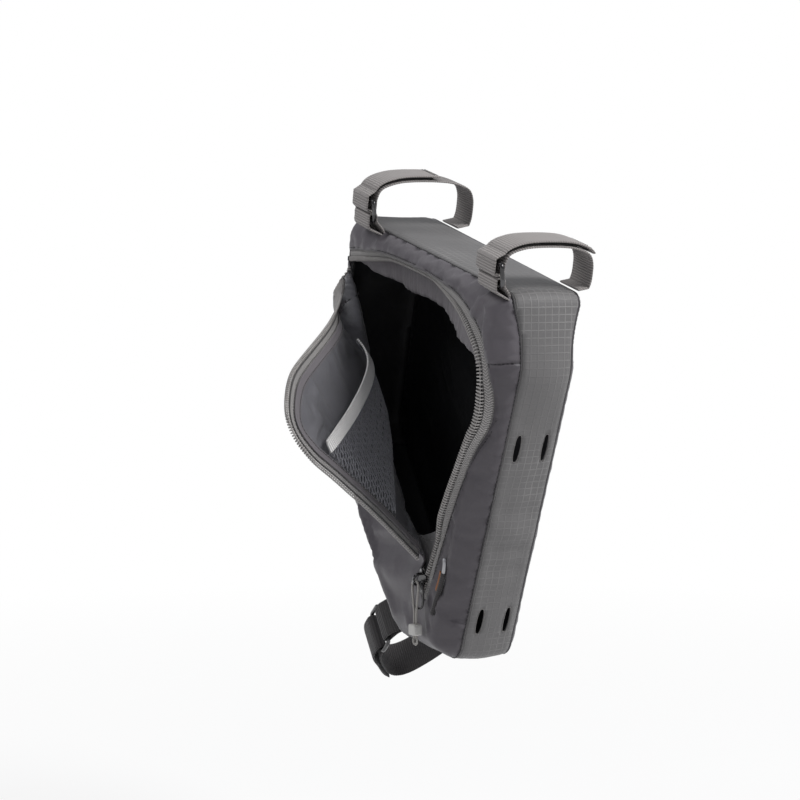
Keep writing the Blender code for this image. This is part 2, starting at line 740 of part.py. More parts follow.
def lower_strap():
    """The black strap that ties the bag's lower edge to the down tube."""
    corner, nose = Vector(CORNERS[LOW_FRONT][:2]), Vector(CORNERS[NOSE][:2])
    run = (nose - corner).normalized()
    along = Vector((run.x, 0, run.y))
    away = Vector((run.y * -1, 0, run.x))
    if away.z > 0:
        away = -away
    origin = Vector((corner.x, 0, corner.y)) + along * 19.5
    frame = (origin, along, Vector((0, 1, 0)), away)
    bar, low_bar = Vector((-26.6, 16.5)), Vector((-26.9, 30.0))
    strap_ring('lower_strap_ring', frame, bar, low_bar)
    tab = [Vector(p) for p in ((-12, 1.4), (-18.5, 2.3), (-24.2, 6.0), (-27.9, 10.8))]
    tab += arc_points(bar, 2.6, 200, 45, 7)
    tab += [Vector(p) for p in ((-23.6, 14.5), (-21.6, 9.6), (-17.8, 6.0), (-12, 4.4))]
    webbing('lower_strap_tab', tab, frame, 'black_webbing')
    strap = catmull([Vector(p) for p in ((18, 1.4), (22.3, 4), (25, 10), (26, 20), (26.2, 31), (24.8, 41),
                                         (18.6, 53.2), (10.4, 65), (4.6, 69.9), (0, 71), (-4.6, 69.9),
                                         (-10.4, 65), (-18.3, 53.2), (-22.6, 44.5), (-23.9, 37.5),
                                         (-23.7, 31.5))], 7.0)
    strap += arc_points(low_bar, TURN_R, 0, -180, 8)
    webbing('lower_strap', strap, frame, 'black_webbing')
    root = Vector((low_bar.x - TURN_R, low_bar.y + 0.6))
    pivot = origin + Vector((0, 1, 0)) * (root.x - WEB_T / 2 - 0.1) + away * root.y
    tail = catmull([root, root + Vector((0, 3))] + [Vector(p) for p in (
        (-29.6, 39), (-26.4, 47), (-21.1, 54.6), (-12.8, 66.9), (-6.6, 72.7))], 6.0)
    webbing('lower_strap_tail', tail, frame, 'black_webbing', pivot=pivot)


def slider_frame():
    """Slider centre, its run up the zip, the way across it and the way out of the bag."""
    across = Vector((-ZIP_RUN.z, 0, ZIP_RUN.x))
    centre = Vector((ZIP_LOW.x, 0, ZIP_LOW.z)) - ZIP_RUN * (SLIDER_LEN / 2 + 1.0)
    return centre, ZIP_RUN, across, Vector((0, -1, 0))


def build_slider():
    centre, up, across, out = slider_frame()
    top_y = SLIDER_TOP + SLIDER_PLATE / 2
    under_y = SLIDER_UNDER - SLIDER_PLATE / 2
    axes = (up, across, out)
    pivot = centre + out * BULGE
    body = box('slider_body', centre + out * top_y, axes, (SLIDER_LEN, 10.5, SLIDER_PLATE),
               'dark_metal', pivot)
    under = box('slider_under_cutter', centre + out * under_y, axes, (SLIDER_LEN, 9.5, SLIDER_PLATE),
                'dark_metal')
    post = box('slider_post_cutter', centre + up * 4.0 + out * (top_y + under_y) / 2, axes,
               (3.0, 1.2, top_y - under_y), 'dark_metal')
    boolean(body, post, 'UNION')
    boolean(body, under, 'UNION')

    crown = SLIDER_TOP + SLIDER_PLATE
    high = BRIDGE_HOLE + BRIDGE_T / 2
    arch = [(4.2, GAP), (4.2, high - 1.7), (3.4, high - 0.4), (2.0, high)]
    arch = [(-p, h) for p, h in arch] + arch[::-1]
    path = [centre + up * p + out * (crown + h) for p, h in arch]
    plate = [(-BRIDGE_T / 2, -0.9), (BRIDGE_T / 2, -0.9), (BRIDGE_T / 2, 0.9), (-BRIDGE_T / 2, 0.9)]
    sweep('slider_bridge', path, plate, 'dark_metal', pivot, up=across)


def pull_frame():
    """Top wire of the puller, its width, the way it hangs and the way out of the bag."""
    centre, up, _, out = slider_frame()
    wide = LEAN.inverted() @ Vector((math.cos(PULL_YAW), math.sin(PULL_YAW), 0))
    top = centre + up * PULL_AT[0] + out * (SLIDER_TOP + SLIDER_PLATE + PULL_AT[1])
    face = wide.cross(HANG).normalized()
    if face.y > 0:
        face = -face
    return top, wide, HANG.copy(), face


def build_pull():
    top, wide, down, face = pull_frame()
    loop = rounded_loop(PULL_SIZE[0], PULL_SIZE[1], 5.2, 5)
    middle = top + down * (PULL_SIZE[1] / 2)
    path = [middle + wide * u + down * v for u, v in loop]
    sweep('puller_ring', path, circle(PULL_WIRE, 6), 'dark_metal', top, closed=True, up=face)

    reach = PULL_WIRE + CORD_R + 0.25
    mid, foot = CORD_DROP + BEAD[2] / 2, CORD_DROP + BEAD[2]
    half = [(1.7, -0.7), (2.8, 0.1), (3.4, 1.4), (3.4, 5.0), (2.9, 8.8), (1.8, 15.8), (STRAND, 21.0),
            (STRAND, CORD_DROP), (STRAND, mid), (STRAND, foot + 0.8), (2.2, foot + 3.2),
            (1.8, foot + 5.2)]
    low = [(0.0, foot + 6.3)]
    loop = [(-STRAND, mid + 0.4)] + [(-u, v) for u, v in half[9:]] + low
    loop += half[::-1] + [(0.0, -0.95)]
    loop += [(-u, v) for u, v in half[:8]] + [(-STRAND, mid - 0.4)]
    route = catmull([Vector(p) for p in loop], 2.2)
    cord('pull_cord', [top + wide * p.x + down * p.y + face * reach for p in route], CORD_R, 'cord', top)

    spot = top + face * reach + down * mid
    bead = box('cord_bead', spot, (wide, face, down), BEAD, 'bead', top)
    hole = box('bead_cutter', spot, (wide, face, down), (5.3, 2.2, BEAD[2] + 4), 'bead')
    boolean(bead, hole, 'DIFFERENCE')


def free_band(name, path, offsets, depths, thick, key, pivot=None, turn=None):
    """Band on the side whose depth below the surface changes across its width."""
    lines = [offset_path(path, d) for d in offsets]
    outer = [[side_point(line[i][0], line[i][1], depth) for line, depth in zip(lines, depths)]
             for i in range(len(path))]
    inner = [[side_point(line[i][0], line[i][1], depth + thick) for line, depth in zip(lines, depths)]
             for i in range(len(path))]
    return shell(name, outer, inner, key, pivot, turn)


def line_distance(x, z, line):
    best = 1e9
    for a, b in zip(line, line[1:]):
        ex, ez = b[0] - a[0], b[1] - a[1]
        t = min(1.0, max(0.0, ((x - a[0]) * ex + (z - a[1]) * ez) / (ex * ex + ez * ez)))
        best = min(best, math.hypot(x - a[0] - ex * t, z - a[1] - ez * t))
    return best


BAND_LINE = [(-60, -68), (-50, -80), (-36, -86), (-12, -89), (20, -90), (48, -89.5), (70, -90)]
MESH_SEWN = [(70, -90), (61, -114), (50.5, -140), (45.5, -152), (16, -139), (-12, -126), (-32, -115),
             (-46, -100), (-57, -83), (-60, -68)]
WEB_LEFT = [(20, -203), (7, -196), (7, -183)]
WEB_RIGHT = [(68, -172), (64, -184), (61, -191)]


def mesh_lift(x, z):
    return 5.0 * (1 - math.exp(-line_distance(x, z, MESH_SEWN) / 8.0))


def web_lift(x, z):
    near = min(line_distance(x, z, WEB_LEFT), line_distance(x, z, WEB_RIGHT))
    return 4.8 * (1 - math.exp(-near / 3.5))


def build_inside(turn):
    line = zip_line(2 * ZIP_STEP)
    knee = min(range(len(line)), key=lambda i: abs(line[i].y + 48.0))
    free_band('lip_facing', line[1:knee], (7.8, 4.2, 0.0, -15.0), (1.7, 2.8, 3.1, 4.4), 1.0, 'lining')

    mesh = [Vector(p) for p in BAND_LINE] + [Vector(p) for p in MESH_SEWN[1:-1]]
    poly = resample(mesh + [mesh[0]], 8.0)[:-1]
    panel('mesh_pocket', [(p.x, p.y) for p in poly], 'mesh', thick=1.0, depth=2.4, pitch=14.0,
          pivot=ZIP_TOP, turn=turn, lift=mesh_lift)
    band = resample(catmull([Vector(p) for p in BAND_LINE], 3.0), 7.0)[1:-1]
    lines = [offset_path(band, d) for d in (3.6, 0.0, -3.6)]
    outer = [[side_point(x, z, 3.8 + mesh_lift(x, z)) for x, z in (line[i] for line in lines)]
             for i in range(len(band))]
    inner = [[side_point(x, z, 5.0 + mesh_lift(x, z)) for x, z in (line[i] for line in lines)]
             for i in range(len(band))]
    shell('pocket_band', outer, inner, 'elastic', ZIP_TOP, turn)

    web = [(7, -183), (20, -184), (30, -185), (42, -180), (53, -172.5), (68, -172), (64, -184), (61, -191),
           (50, -197), (34, -206), (20, -203), (7, -196)]
    poly = resample([Vector(p) for p in web + web[:1]], 6.0)[:-1]
    panel('opening_web', [(p.x, p.y) for p in poly], 'lining', thick=1.0, depth=1.9, pitch=10.0,
          lift=web_lift)


def build_zip_ends():
    run = Vector((ZIP_RUN.x, ZIP_RUN.z))
    foot = Vector((ZIP_LOW.x, ZIP_LOW.z))
    short = [foot - run * t for t in (3.0, 8.0, 13.0, 18.6)]
    zip_band('zip_tape_foot', short, -TAPE_IN, -7.4, 0.2, TAPE_T, 'tape')
    _, up, across, out = slider_frame()
    spot = Vector((foot.x, 0, foot.y)) - up * 16.6 + out * (BULGE - 0.7)
    box('zip_end_stop', spot, (up, across, out), (2.6, 8.0, 3.0), 'dark_metal')
    start = zip_line(1.0)[:3]
    zip_band('zip_top_stop', start, ZIP_TEETH_IN, ZIP_TEETH_IN + ZIP_TEETH_W, -0.9, ZIP_TEETH_T, 'dark_metal')
    edge = resample([Vector((70.2, -189.6)), Vector((67.5, -200.0)), Vector((60.5, -220.0))], 5.0)
    free_band('garage_binding', edge, (1.4, 0.0, -1.4), (-1.9, -2.3, -1.9), 1.6, 'tape')
    edge = [Vector((70.6, -179.6)), Vector((71.0, -182.6)), Vector((71.0, -186.0)), Vector((70.6, -189.0))]
    free_band('garage_tab', edge, (1.8, 0.0, -1.8), (-1.5, -2.2, -1.5), 1.2, 'reflective')
    edge = resample([Vector((66.2, -189.4)), Vector((65.0, -196.0)), Vector((62.4, -203.0))], 4.0)
    free_band('garage_label', edge, (0.8, -0.8), (-1.1, -1.1), 0.8, 'orange')


def main():
    clear_scene()
    turn = flap_turn()
    build_strips()
    build_sides(turn)
    build_zip(turn)
    build_zip_ends()
    build_inside(turn)
    build_slider()
    build_pull()
    top_strap('rear', STRAP_REAR_X, TUBE_REAR, 18.0, 31.0, 22.0)
    top_strap('front', STRAP_FRONT_X, TUBE_FRONT, 19.5, 10.0, 26.0)
    lower_strap()


main()
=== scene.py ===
"""Looks of a bicycle frame bag with its zip flap open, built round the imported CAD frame.

Lengths are millimetres in the bag's own frame (x back along the top tube, y to the far side,
z away from the tube) until world() leans them and turns them into metres.
"""

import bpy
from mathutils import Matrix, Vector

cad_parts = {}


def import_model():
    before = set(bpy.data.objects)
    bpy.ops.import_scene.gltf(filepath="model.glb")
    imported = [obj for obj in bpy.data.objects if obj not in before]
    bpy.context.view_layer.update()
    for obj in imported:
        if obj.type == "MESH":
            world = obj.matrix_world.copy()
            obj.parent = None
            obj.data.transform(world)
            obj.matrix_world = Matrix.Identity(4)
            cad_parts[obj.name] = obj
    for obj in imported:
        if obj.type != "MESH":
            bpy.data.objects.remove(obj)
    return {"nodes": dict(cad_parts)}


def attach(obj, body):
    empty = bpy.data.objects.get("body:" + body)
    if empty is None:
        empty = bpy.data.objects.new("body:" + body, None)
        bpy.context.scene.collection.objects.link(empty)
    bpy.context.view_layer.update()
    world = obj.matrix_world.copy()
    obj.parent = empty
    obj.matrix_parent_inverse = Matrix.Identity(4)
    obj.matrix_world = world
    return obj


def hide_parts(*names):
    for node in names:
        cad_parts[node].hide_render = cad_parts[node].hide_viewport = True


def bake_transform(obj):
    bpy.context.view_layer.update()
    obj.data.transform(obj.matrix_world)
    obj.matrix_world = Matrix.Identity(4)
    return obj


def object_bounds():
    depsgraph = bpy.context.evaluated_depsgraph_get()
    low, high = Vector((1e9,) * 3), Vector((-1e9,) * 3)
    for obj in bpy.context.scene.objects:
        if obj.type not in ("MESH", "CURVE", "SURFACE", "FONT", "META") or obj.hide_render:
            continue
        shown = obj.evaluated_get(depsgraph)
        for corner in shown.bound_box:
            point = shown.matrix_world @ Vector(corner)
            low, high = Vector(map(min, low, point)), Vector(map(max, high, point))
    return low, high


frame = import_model()
CAD_BOX = [list(corner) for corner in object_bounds()]

import functools
import math

import bpy
import numpy as np
from mathutils import Matrix, Vector
from mathutils.geometry import delaunay_2d_cdt

MM = 0.001
TUBE_SLOPE = math.radians(12.0)
LEAN = np.array(Matrix.Rotation(TUBE_SLOPE, 3, "Y"))
DOWN = LEAN.T @ np.array([0.0, 0.0, -1.0])      # where things hang, in the bag's frame

# sizes shared with the CAD part
BULGE = 33.0
GAP = 0.3
CLOTH_T = 1.1
WEBBING = 25.0
WEB_T = 1.6
PAD_T = 1.0
RING_WIRE = 2.8
RING_RISE = 13.5
TURN_R = 3.2
STRAP_REAR_X = 91.5
STRAP_FRONT_X = -87.5
TUBE_REAR = (28.8, 26.8)
TUBE_FRONT = (34.5, 31.5)
TUBE_GAP = 0.4               # between the carrying tube and the strap round it
ZIP_TAPE_FIXED = 8.5
ZIP_TAPE_FLAP = 11.0
SLIDER_LEN = 12.0
SLIDER_TOP = BULGE + 1.2
SLIDER_UNDER = BULGE - 2.6
SLIDER_PLATE = 1.4
BRIDGE_HOLE = 4.8
BRIDGE_T = 1.2
PULL_WIRE = 0.8
PULL_SIZE = (12.6, 17.4)
PULL_YAW = math.radians(8.0)
PULL_AT = (-1.9, 2.0)
CORD_R = 0.75
CORD_DROP = 27.5
STRAND = 1.15
BEAD = (7.6, 6.2, 7.0)

# looks only
FINE = 3.4                   # pitch of the cloth meshes
OUTLINE_STEP = 2.5
SEAM_DIP = 0.9               # how far the cloth is drawn in at a seam, and over what distance
SEAM_REACH = 2.6
FLAP_OPEN = math.radians(54.0)
FLAP_ENDS = (2.0, 10.0)
FLAP_TAPE_ENDS = (4.0, 11.0)
FLAP_DROOP = 22.0            # slack of the flap's zip edge along its upper run
FLAP_CURL = 2.5              # the flap bows back towards the bag
FLAP_PUFF = 16.0             # outward puff of the flap's cloth near its upper end
CURL_REACH = 28.0            # from the fold to where that bow is nearly full
PUFF_FROM, PUFF_RISE, PUFF_FULL = 0.01, 0.09, 0.13   # shares of the fold's length
FOLD_R = 10.0                # half the cloth that rolls round the fold
FOLD_END_R = 0.6             # and at the fold's two ends
DROOP_END = 0.75             # share of the zip's length where the droop stops
ROLL_WIDE = 12.0             # width of the fixed tape that turns in or out
COIL_PITCH = 2.0
COIL_WIRE = 0.52
COIL_TOOTH = [               # from the tape over the tooth's crown and back: across, depth
    (3.7, 0.7), (3.3, -0.55), (2.5, -1.05), (1.5, -1.1), (0.75, -0.55), (0.75, 0.9), (1.6, 1.3),
]
GRID_PITCH = 4.6             # squares of the ripstop
RIB_PITCH = 1.65
NET_CELL = (2.6, 8.0)
NET_TURN = math.radians(118.0)
NET_MIDDLE = (5.0, -110.0)
NET_HALF = 130               # more than half the pocket's length and width

CORNERS = [                  # x, z, radius, half width of the strip, reach of the side's curve
    (-128.0, 0.0, 16.0, 27.0, 12.0),
    (106.0, 0.0, 9.0, 22.0, 12.0),
    (115.0, -46.0, 34.0, 17.0, 13.0),
    (73.0, -250.0, 15.0, 17.5, 16.0),
    (0.0, -260.0, 14.0, 22.0, 18.0),
    (-134.0, -155.5, 16.0, 24.0, 14.0),
]
KNEE = 2
FAR_REACH = 38.0             # the far side is flatter
FOLDS = [                    # soft outward folds of the near side: line, height, width
    ([(86.3, -6.3), (68.8, -26.4)], 1.3, 3.2),
    ([(94.4, -9.5), (93.3, -24.1), (98.8, -42.2)], 1.5, 2.8),
    ([(101.3, -14.3), (99.8, -26.3), (103.0, -41.1)], 0.9, 2.0),
    ([(4.6, -4.4), (-31.0, -22.3)], 0.9, 4.0),
    ([(48.0, -3.7), (28.7, -13.6)], 0.8, 3.6),
    ([(-75.0, -9.7), (-104.6, -23.6)], 1.0, 4.0),
    ([(-65.5, -2.0), (-90.9, -13.2)], -0.6, 3.0),
    ([(105.0, -48.0), (106.0, -80.0), (99.0, -112.0)], 1.0, 3.2),
    ([(90.0, -128.0), (78.0, -170.0), (72.0, -205.0)], 0.9, 4.0),
    ([(2.0, -249.0), (20.0, -240.0)], -1.2, 2.4),
    ([(-30.0, -222.0), (-2.0, -206.0)], 0.9, 6.0),
    ([(86.0, -60.0), (56.0, -64.0)], 1.5, 4.0),
    ([(80.0, -72.0), (52.0, -71.0)], -1.3, 3.4),
    ([(72.0, -46.0), (44.0, -56.0)], 1.2, 5.0),
]
PUCKER = (0.34, 6.8, 5.0)    # height, pitch and reach of the puckers along a sewn edge
ROLL_AT = [0.0, 0.06, 0.15, 0.33, 0.45, 0.53, 0.64, 0.73, 0.865, 0.922, 1.0]   # along the zip
ROLL = [8.0, 16.0, 54.0, 50.0, -4.0, -28.0, -31.0, -43.0, -40.0, 0.0, 0.0]     # its tape turns in
ZIP_PATH = [
    (-120, -32), (-97, -27), (-67, -22.5), (-34, -20), (0, -19), (30, -19.8), (50, -22),
    (66, -27), (81, -35), (90, -43), (95, -53), (96, -65), (93, -81), (86, -97), (78, -115),
    (70, -132), (62.6, -150), (57.067, -165.333), (51.533, -180.667), (46, -196),
]
HINGE_Y = -(BULGE + GAP / 2)
ZIP_TOP = np.array([-120.0, HINGE_Y, -32.0])
ZIP_LOW = np.array([46.0, HINGE_Y, -196.0])
HINGE = (ZIP_LOW - ZIP_TOP) / np.linalg.norm(ZIP_LOW - ZIP_TOP)
HINGE_LEN = float(np.linalg.norm(ZIP_LOW - ZIP_TOP))
FLAP_UP = np.array([-HINGE[2], 0.0, HINGE[0]])   # in the closed flap, away from the fold
ZIP_RUN = np.array([16.6, 0.0, 46.0]) / math.hypot(16.6, 46.0)
FLAT = [0, 2]                                    # a point's x and z, in the side's plane
TOP, LOW, RUN = ZIP_TOP[FLAT], ZIP_LOW[FLAT], ZIP_RUN[FLAT]


# ---------------------------------------------------------------- plane curves

def unit(v):
    return v / np.linalg.norm(v)


def swell(wave, power):
    """A sine or cosine made fuller by a power under 1, its sign kept."""
    return np.sign(wave) * np.abs(wave) ** power


def steps(path):
    return np.linalg.norm(np.diff(path, axis=0), axis=1)


def lengths(path):
    """Length along a path at each of its points."""
    return np.concatenate([[0], np.cumsum(steps(path))])


def total(path):
    return float(steps(path).sum())


def closed_line(loop):
    return np.vstack([loop, loop[:1]])


def stand(plane, y):
    """Plane points (x, z) set at y."""
    return np.stack([plane[:, 0], y, plane[:, 1]], 1)


def smooth_curve(points, step):
    """Catmull-Rom curve through the points, resampled at about equal steps."""
    pts = np.array(points, float)
    ext = np.vstack([2 * pts[0] - pts[1], pts, 2 * pts[-1] - pts[-2]])
    t = np.linspace(0, 1, 24, endpoint=False)[:, None]
    rows = []
    for a, b, c, d in zip(ext, ext[1:], ext[2:], ext[3:]):
        rows.append(0.5 * (2 * b + (c - a) * t + (2 * a - 5 * b + 4 * c - d) * t ** 2
                           + (3 * b - a - 3 * c + d) * t ** 3))
    return resample(np.vstack([*rows, pts[-1:]]), step)


def resample(points, step):
    pts = np.array(points, float)
    s = lengths(pts)
    at = np.linspace(0, s[-1], max(2, int(round(s[-1] / step)) + 1))
    return np.stack([np.interp(at, s, pts[:, k]) for k in range(pts.shape[1])], 1)


def runs(path):
    d = np.gradient(path, axis=0)
    return d / np.linalg.norm(d, axis=1)[:, None]


def offset(path, distance):
    """Plane path moved sideways; positive is away from the middle of the zip's opening."""
    d = runs(path)
    return path + np.stack([-d[:, 1], d[:, 0]], 1) * np.reshape(distance, (-1, 1))


def to_edges(p, a, b):
    """For each point and edge: the nearest place as a share of the edge, and the gap to it."""
    e = b - a
    t = np.clip(((p[:, None] - a) * e).sum(2) / (e * e).sum(1), 0, 1)
    return t, p[:, None] - a - e * t[..., None]


def line_distance(p, line):
    line = np.array(line, float)
    return np.linalg.norm(to_edges(p, line[:-1], line[1:])[1], axis=2).min(1)


def inside(p, polygon):
    a = np.array(polygon, float)
    b = np.roll(a, -1, 0)
    cross = (a[:, 1] > p[:, None, 1]) != (b[:, 1] > p[:, None, 1])
    rise = np.where(a[:, 1] == b[:, 1], 1e-9, b[:, 1] - a[:, 1])
    x = (b[:, 0] - a[:, 0]) * (p[:, None, 1] - a[:, 1]) / rise + a[:, 0]
    return (cross & (p[:, None, 0] < x)).sum(1) % 2 == 1


def bag_outline():
    """Rounded outline, one row a point: x, z, half width of the strip, reach of the curve."""
    rows = []
    count = len(CORNERS)
    for i, (x, z, radius, half, reach) in enumerate(CORNERS):
        here = np.array([x, z])
        u = unit(np.array(CORNERS[i - 1][:2]) - here)
        v = unit(np.array(CORNERS[(i + 1) % count][:2]) - here)
        bend = math.acos(float(u @ v)) / 2
        centre = here + unit(u + v) * radius / math.sin(bend)
        first, last = here + u * radius / math.tan(bend), here + v * radius / math.tan(bend)
        a0 = math.atan2(*(first - centre)[::-1])
        turn = (math.atan2(*(last - centre)[::-1]) - a0 + math.pi) % (2 * math.pi) - math.pi
        arc = [(centre[0] + radius * math.cos(a0 + turn * t),
                centre[1] + radius * math.sin(a0 + turn * t), half, reach)
               for t in np.linspace(0, 1, max(5, int(abs(turn) * radius / 1.5)))]
        if i == KNEE:
            t = np.linspace(0, 1, 14)[1:-1, None]
            lead = np.array(rows[-1]) + (np.array(arc[0]) - rows[-1]) * t
            lead[:, 2:3] = rows[-1][2] + (half - rows[-1][2]) * t * (2 - t)
            rows += [tuple(row) for row in lead]
        rows += arc
    rows.append(rows[0])
    return resample(rows, OUTLINE_STEP)[:-1]


OUT = bag_outline()
OUT_RUN = np.roll(OUT[:, :2], -1, 0) - np.roll(OUT[:, :2], 1, 0)
OUT_RUN /= np.linalg.norm(OUT_RUN, axis=1)[:, None]
OUT_IN = np.stack([OUT_RUN[:, 1], -OUT_RUN[:, 0]], 1)


def near_outline(p):
    """Distance, inward direction, half width and reach at the nearest outline point."""
    nxt = np.roll(OUT, -1, 0)
    t, gap = to_edges(p, OUT[:, :2], nxt[:, :2])
    d = np.linalg.norm(gap, axis=2)
    k = d.argmin(1)
    row = np.arange(len(p))
    best, t = d[row, k], t[row, k]
    away = np.where(best[:, None] > 1e-3, gap[row, k] / np.maximum(best, 1e-9)[:, None], OUT_IN[k])
    between = OUT[k] + (nxt[k] - OUT[k]) * t[:, None]
    return best, away, between[:, 2], between[:, 3]


def side(p, depth=0.0, far=False):
    """Points of a side's curved surface, some depth below it along its normal."""
    p = np.array(p, float).reshape(-1, 2)
    d, away, half, reach = near_outline(p)
    reach = FAR_REACH if far else reach
    fill = BULGE - half
    turn = np.clip(d / reach, 0, 1) * math.pi / 2
    height = half + fill * np.sin(turn)
    slope = fill * math.pi / 2 / reach * np.cos(turn)
    normal = stand(slope[:, None] * away, np.ones(len(p)))
    normal /= np.linalg.norm(normal, axis=1)[:, None]
    base = stand(p, -height)
    dip = SEAM_DIP * np.exp(-d / SEAM_REACH)[:, None]
    return base + normal * (np.reshape(depth, (-1, 1)) + dip)


def folds(flat):
    """Depth of the near side's soft folds and of the puckers along its sewn edge."""
    deep = np.zeros(len(flat))
    for line, height, width in FOLDS:
        deep -= height * np.exp(-(line_distance(flat, line) / width) ** 2)
    edge = near_outline(flat)[0]
    tall, pitch, reach = PUCKER
    phase = (flat[:, 1] - 0.4 * flat[:, 0]) * 2 * math.pi / pitch
    wave = np.sin(phase + 1.3 * np.sin(phase * 0.37)) * np.exp(-edge / reach)
    return deep * (1 - np.exp(-edge / 3.0)) + tall * wave * (1 - np.exp(-edge / 1.2))


def index_near(x, z):
    return int(np.hypot(OUT[:, 0] - x, OUT[:, 1] - z).argmin())


def outline_rows(first, last):
    """Numbers of the outline's points from first to last, round the corner list."""
    return np.arange(first, last + 1 + (len(OUT) if last <= first else 0)) % len(OUT)


def outline_run(first, last):
    k = outline_rows(first, last)
    return OUT[k, :2] + OUT_IN[k] * GAP / 2


# ---------------------------------------------------------------- the fold of the open flap

SIGMA = np.linspace(-1, 1, 81)                   # across the fold, -1 and 1 at its edges
TURNING = FLAP_OPEN * (3 * ((SIGMA + 1) / 2) ** 2 - 2 * ((SIGMA + 1) / 2) ** 3)
FOLD_ALONG, FOLD_OUT = (
    np.concatenate([[0], np.cumsum(wave((TURNING[1:] + TURNING[:-1]) / 2))]) * 0.025
    for wave in (np.cos, np.sin))


def fold(q):
    """Closed-flap points carried to the open flap round a soft fold that tapers at its ends."""
    q = np.array(q, float).reshape(-1, 3)
    v = q - ZIP_TOP
    t, s, w = v @ HINGE, v @ FLAP_UP, v[:, 1]
    f = np.clip(t / HINGE_LEN, 0, 1)
    radius = FOLD_END_R + FOLD_R * np.sin(math.pi * f) ** 0.8
    bow = (1 - np.exp(-np.maximum(s, 0) / CURL_REACH)) * np.sin(math.pi * f) ** 0.6
    span = np.clip(s / np.interp(t, *flap_reach()), 0, 1)
    rise = np.clip((f - PUFF_FROM) / PUFF_RISE, 0, 1)
    fade = np.exp(-(np.maximum(f - PUFF_FULL, 0) / PUFF_FULL) ** 2)
    puff = np.sin(math.pi * span ** 0.8) * (rise * rise * (3 - 2 * rise) * fade)
    w = w + FLAP_CURL * bow - FLAP_PUFF * puff
    sigma = np.clip(s / radius, -1, 1)
    angle = np.interp(sigma, SIGMA, TURNING)
    past = np.maximum(s - radius, 0)
    along = np.where(s < -radius, s, -radius + radius * np.interp(sigma, SIGMA, FOLD_ALONG)
                     + past * math.cos(FLAP_OPEN))
    out = np.where(s < -radius, 0.0, radius * np.interp(sigma, SIGMA, FOLD_OUT)
                   + past * math.sin(FLAP_OPEN))
    along = along + w * np.sin(angle)
    deep = w * np.cos(angle) - out
    return (ZIP_TOP + np.outer(t, HINGE) + np.outer(along, FLAP_UP)
            + np.outer(deep, [0.0, 1.0, 0.0]))


def flap_width(path, width):
    """Inward offset from the flap's zip edge, less where the edge runs into the fold."""
    s = (path - TOP) @ FLAP_UP[FLAT]
    return -np.minimum(width, 0.8 * np.maximum(s, 0) * width / ZIP_TAPE_FLAP + 0.3)


@functools.cache
def flap_reach():
    """How far the flap's zip edge lies from the fold: tables of length along it and distance."""
    edge = zip_line(3.0, True)
    v = edge - TOP
    return v @ HINGE[FLAT], np.maximum(v @ FLAP_UP[FLAT], 6.0)


def zip_line(step, flap=False, ends=(0.0, 0.0)):
    fine = smooth_curve(ZIP_PATH, 1.0)
    if flap:
        f = np.minimum(1, np.linspace(0, 1, len(fine)) / DROOP_END)
        fine[:, 1] -= FLAP_DROOP * np.sin(math.pi * f ** 0.6) ** 1.3
    last = len(fine) - int(round(ends[1]))
    return resample(fine[int(round(ends[0])):last], step)


def rolled(path, across, depth):
    """Points on the fixed tape, which turns in along the top and stands out down the rear."""
    s = lengths(path)
    turn = np.radians(np.interp(s / ZIP_LENGTH, ROLL_AT, ROLL))
    reach = np.maximum(LIP - across, 0.0)
    turned = np.minimum(reach, ROLL_WIDE)
    shift = reach - turned * (1 - np.cos(turn))
    deeper = turned * np.sin(turn)
    return side(offset(path, np.where(across < LIP, LIP - shift, across)), depth + deeper)


LIP = ZIP_TAPE_FIXED
ZIP_LENGTH = total(zip_line(1.0))


# ---------------------------------------------------------------- meshes

def world(points):
    return (np.array(points, float).reshape(-1, 3) @ LEAN.T) * MM


def link(name, data):
    obj = bpy.data.objects.new(name, data)
    bpy.context.scene.collection.objects.link(obj)
    return obj


def lay(along, across):
    """Weave coordinates of cloth, in millimetres along and across its flat pattern."""
    return np.stack([along, across * np.ones(len(along)), np.zeros(len(along))], 1)


def weft(columns):
    """One list of a grid's points, row by row, from its columns."""
    return np.stack(columns, 1).reshape(-1, 3)


def make(name, points, faces, looks, weave=None, parts=None):
    """Object from bag-frame points; parts are the faces' numbers in the list of looks."""
    mesh = bpy.data.meshes.new(name)
    mesh.from_pydata(world(points).tolist(), [], [tuple(int(k) for k in f) for f in faces])
    for look in looks if isinstance(looks, (list, tuple)) else [looks]:
        mesh.materials.append(LOOKS[look])
    if parts is not None:
        mesh.polygons.foreach_set("material_index", np.array(parts, np.int32))
    mesh.polygons.foreach_set("use_smooth", [True] * len(mesh.polygons))
    if weave is not None:
        layer = mesh.attributes.new("weave", "FLOAT_VECTOR", "POINT")
        layer.data.foreach_set("vector", np.array(weave, np.float32).ravel())
    return link(name, mesh)


def normals(points, faces):
    out = np.zeros_like(points)
    tri = np.array([f[:3] for f in faces])
    n = np.cross(points[tri[:, 1]] - points[tri[:, 0]], points[tri[:, 2]] - points[tri[:, 0]])
    for f, one in zip(faces, n):
        out[list(f)] += one
    return out / np.maximum(np.linalg.norm(out, axis=1), 1e-12)[:, None]


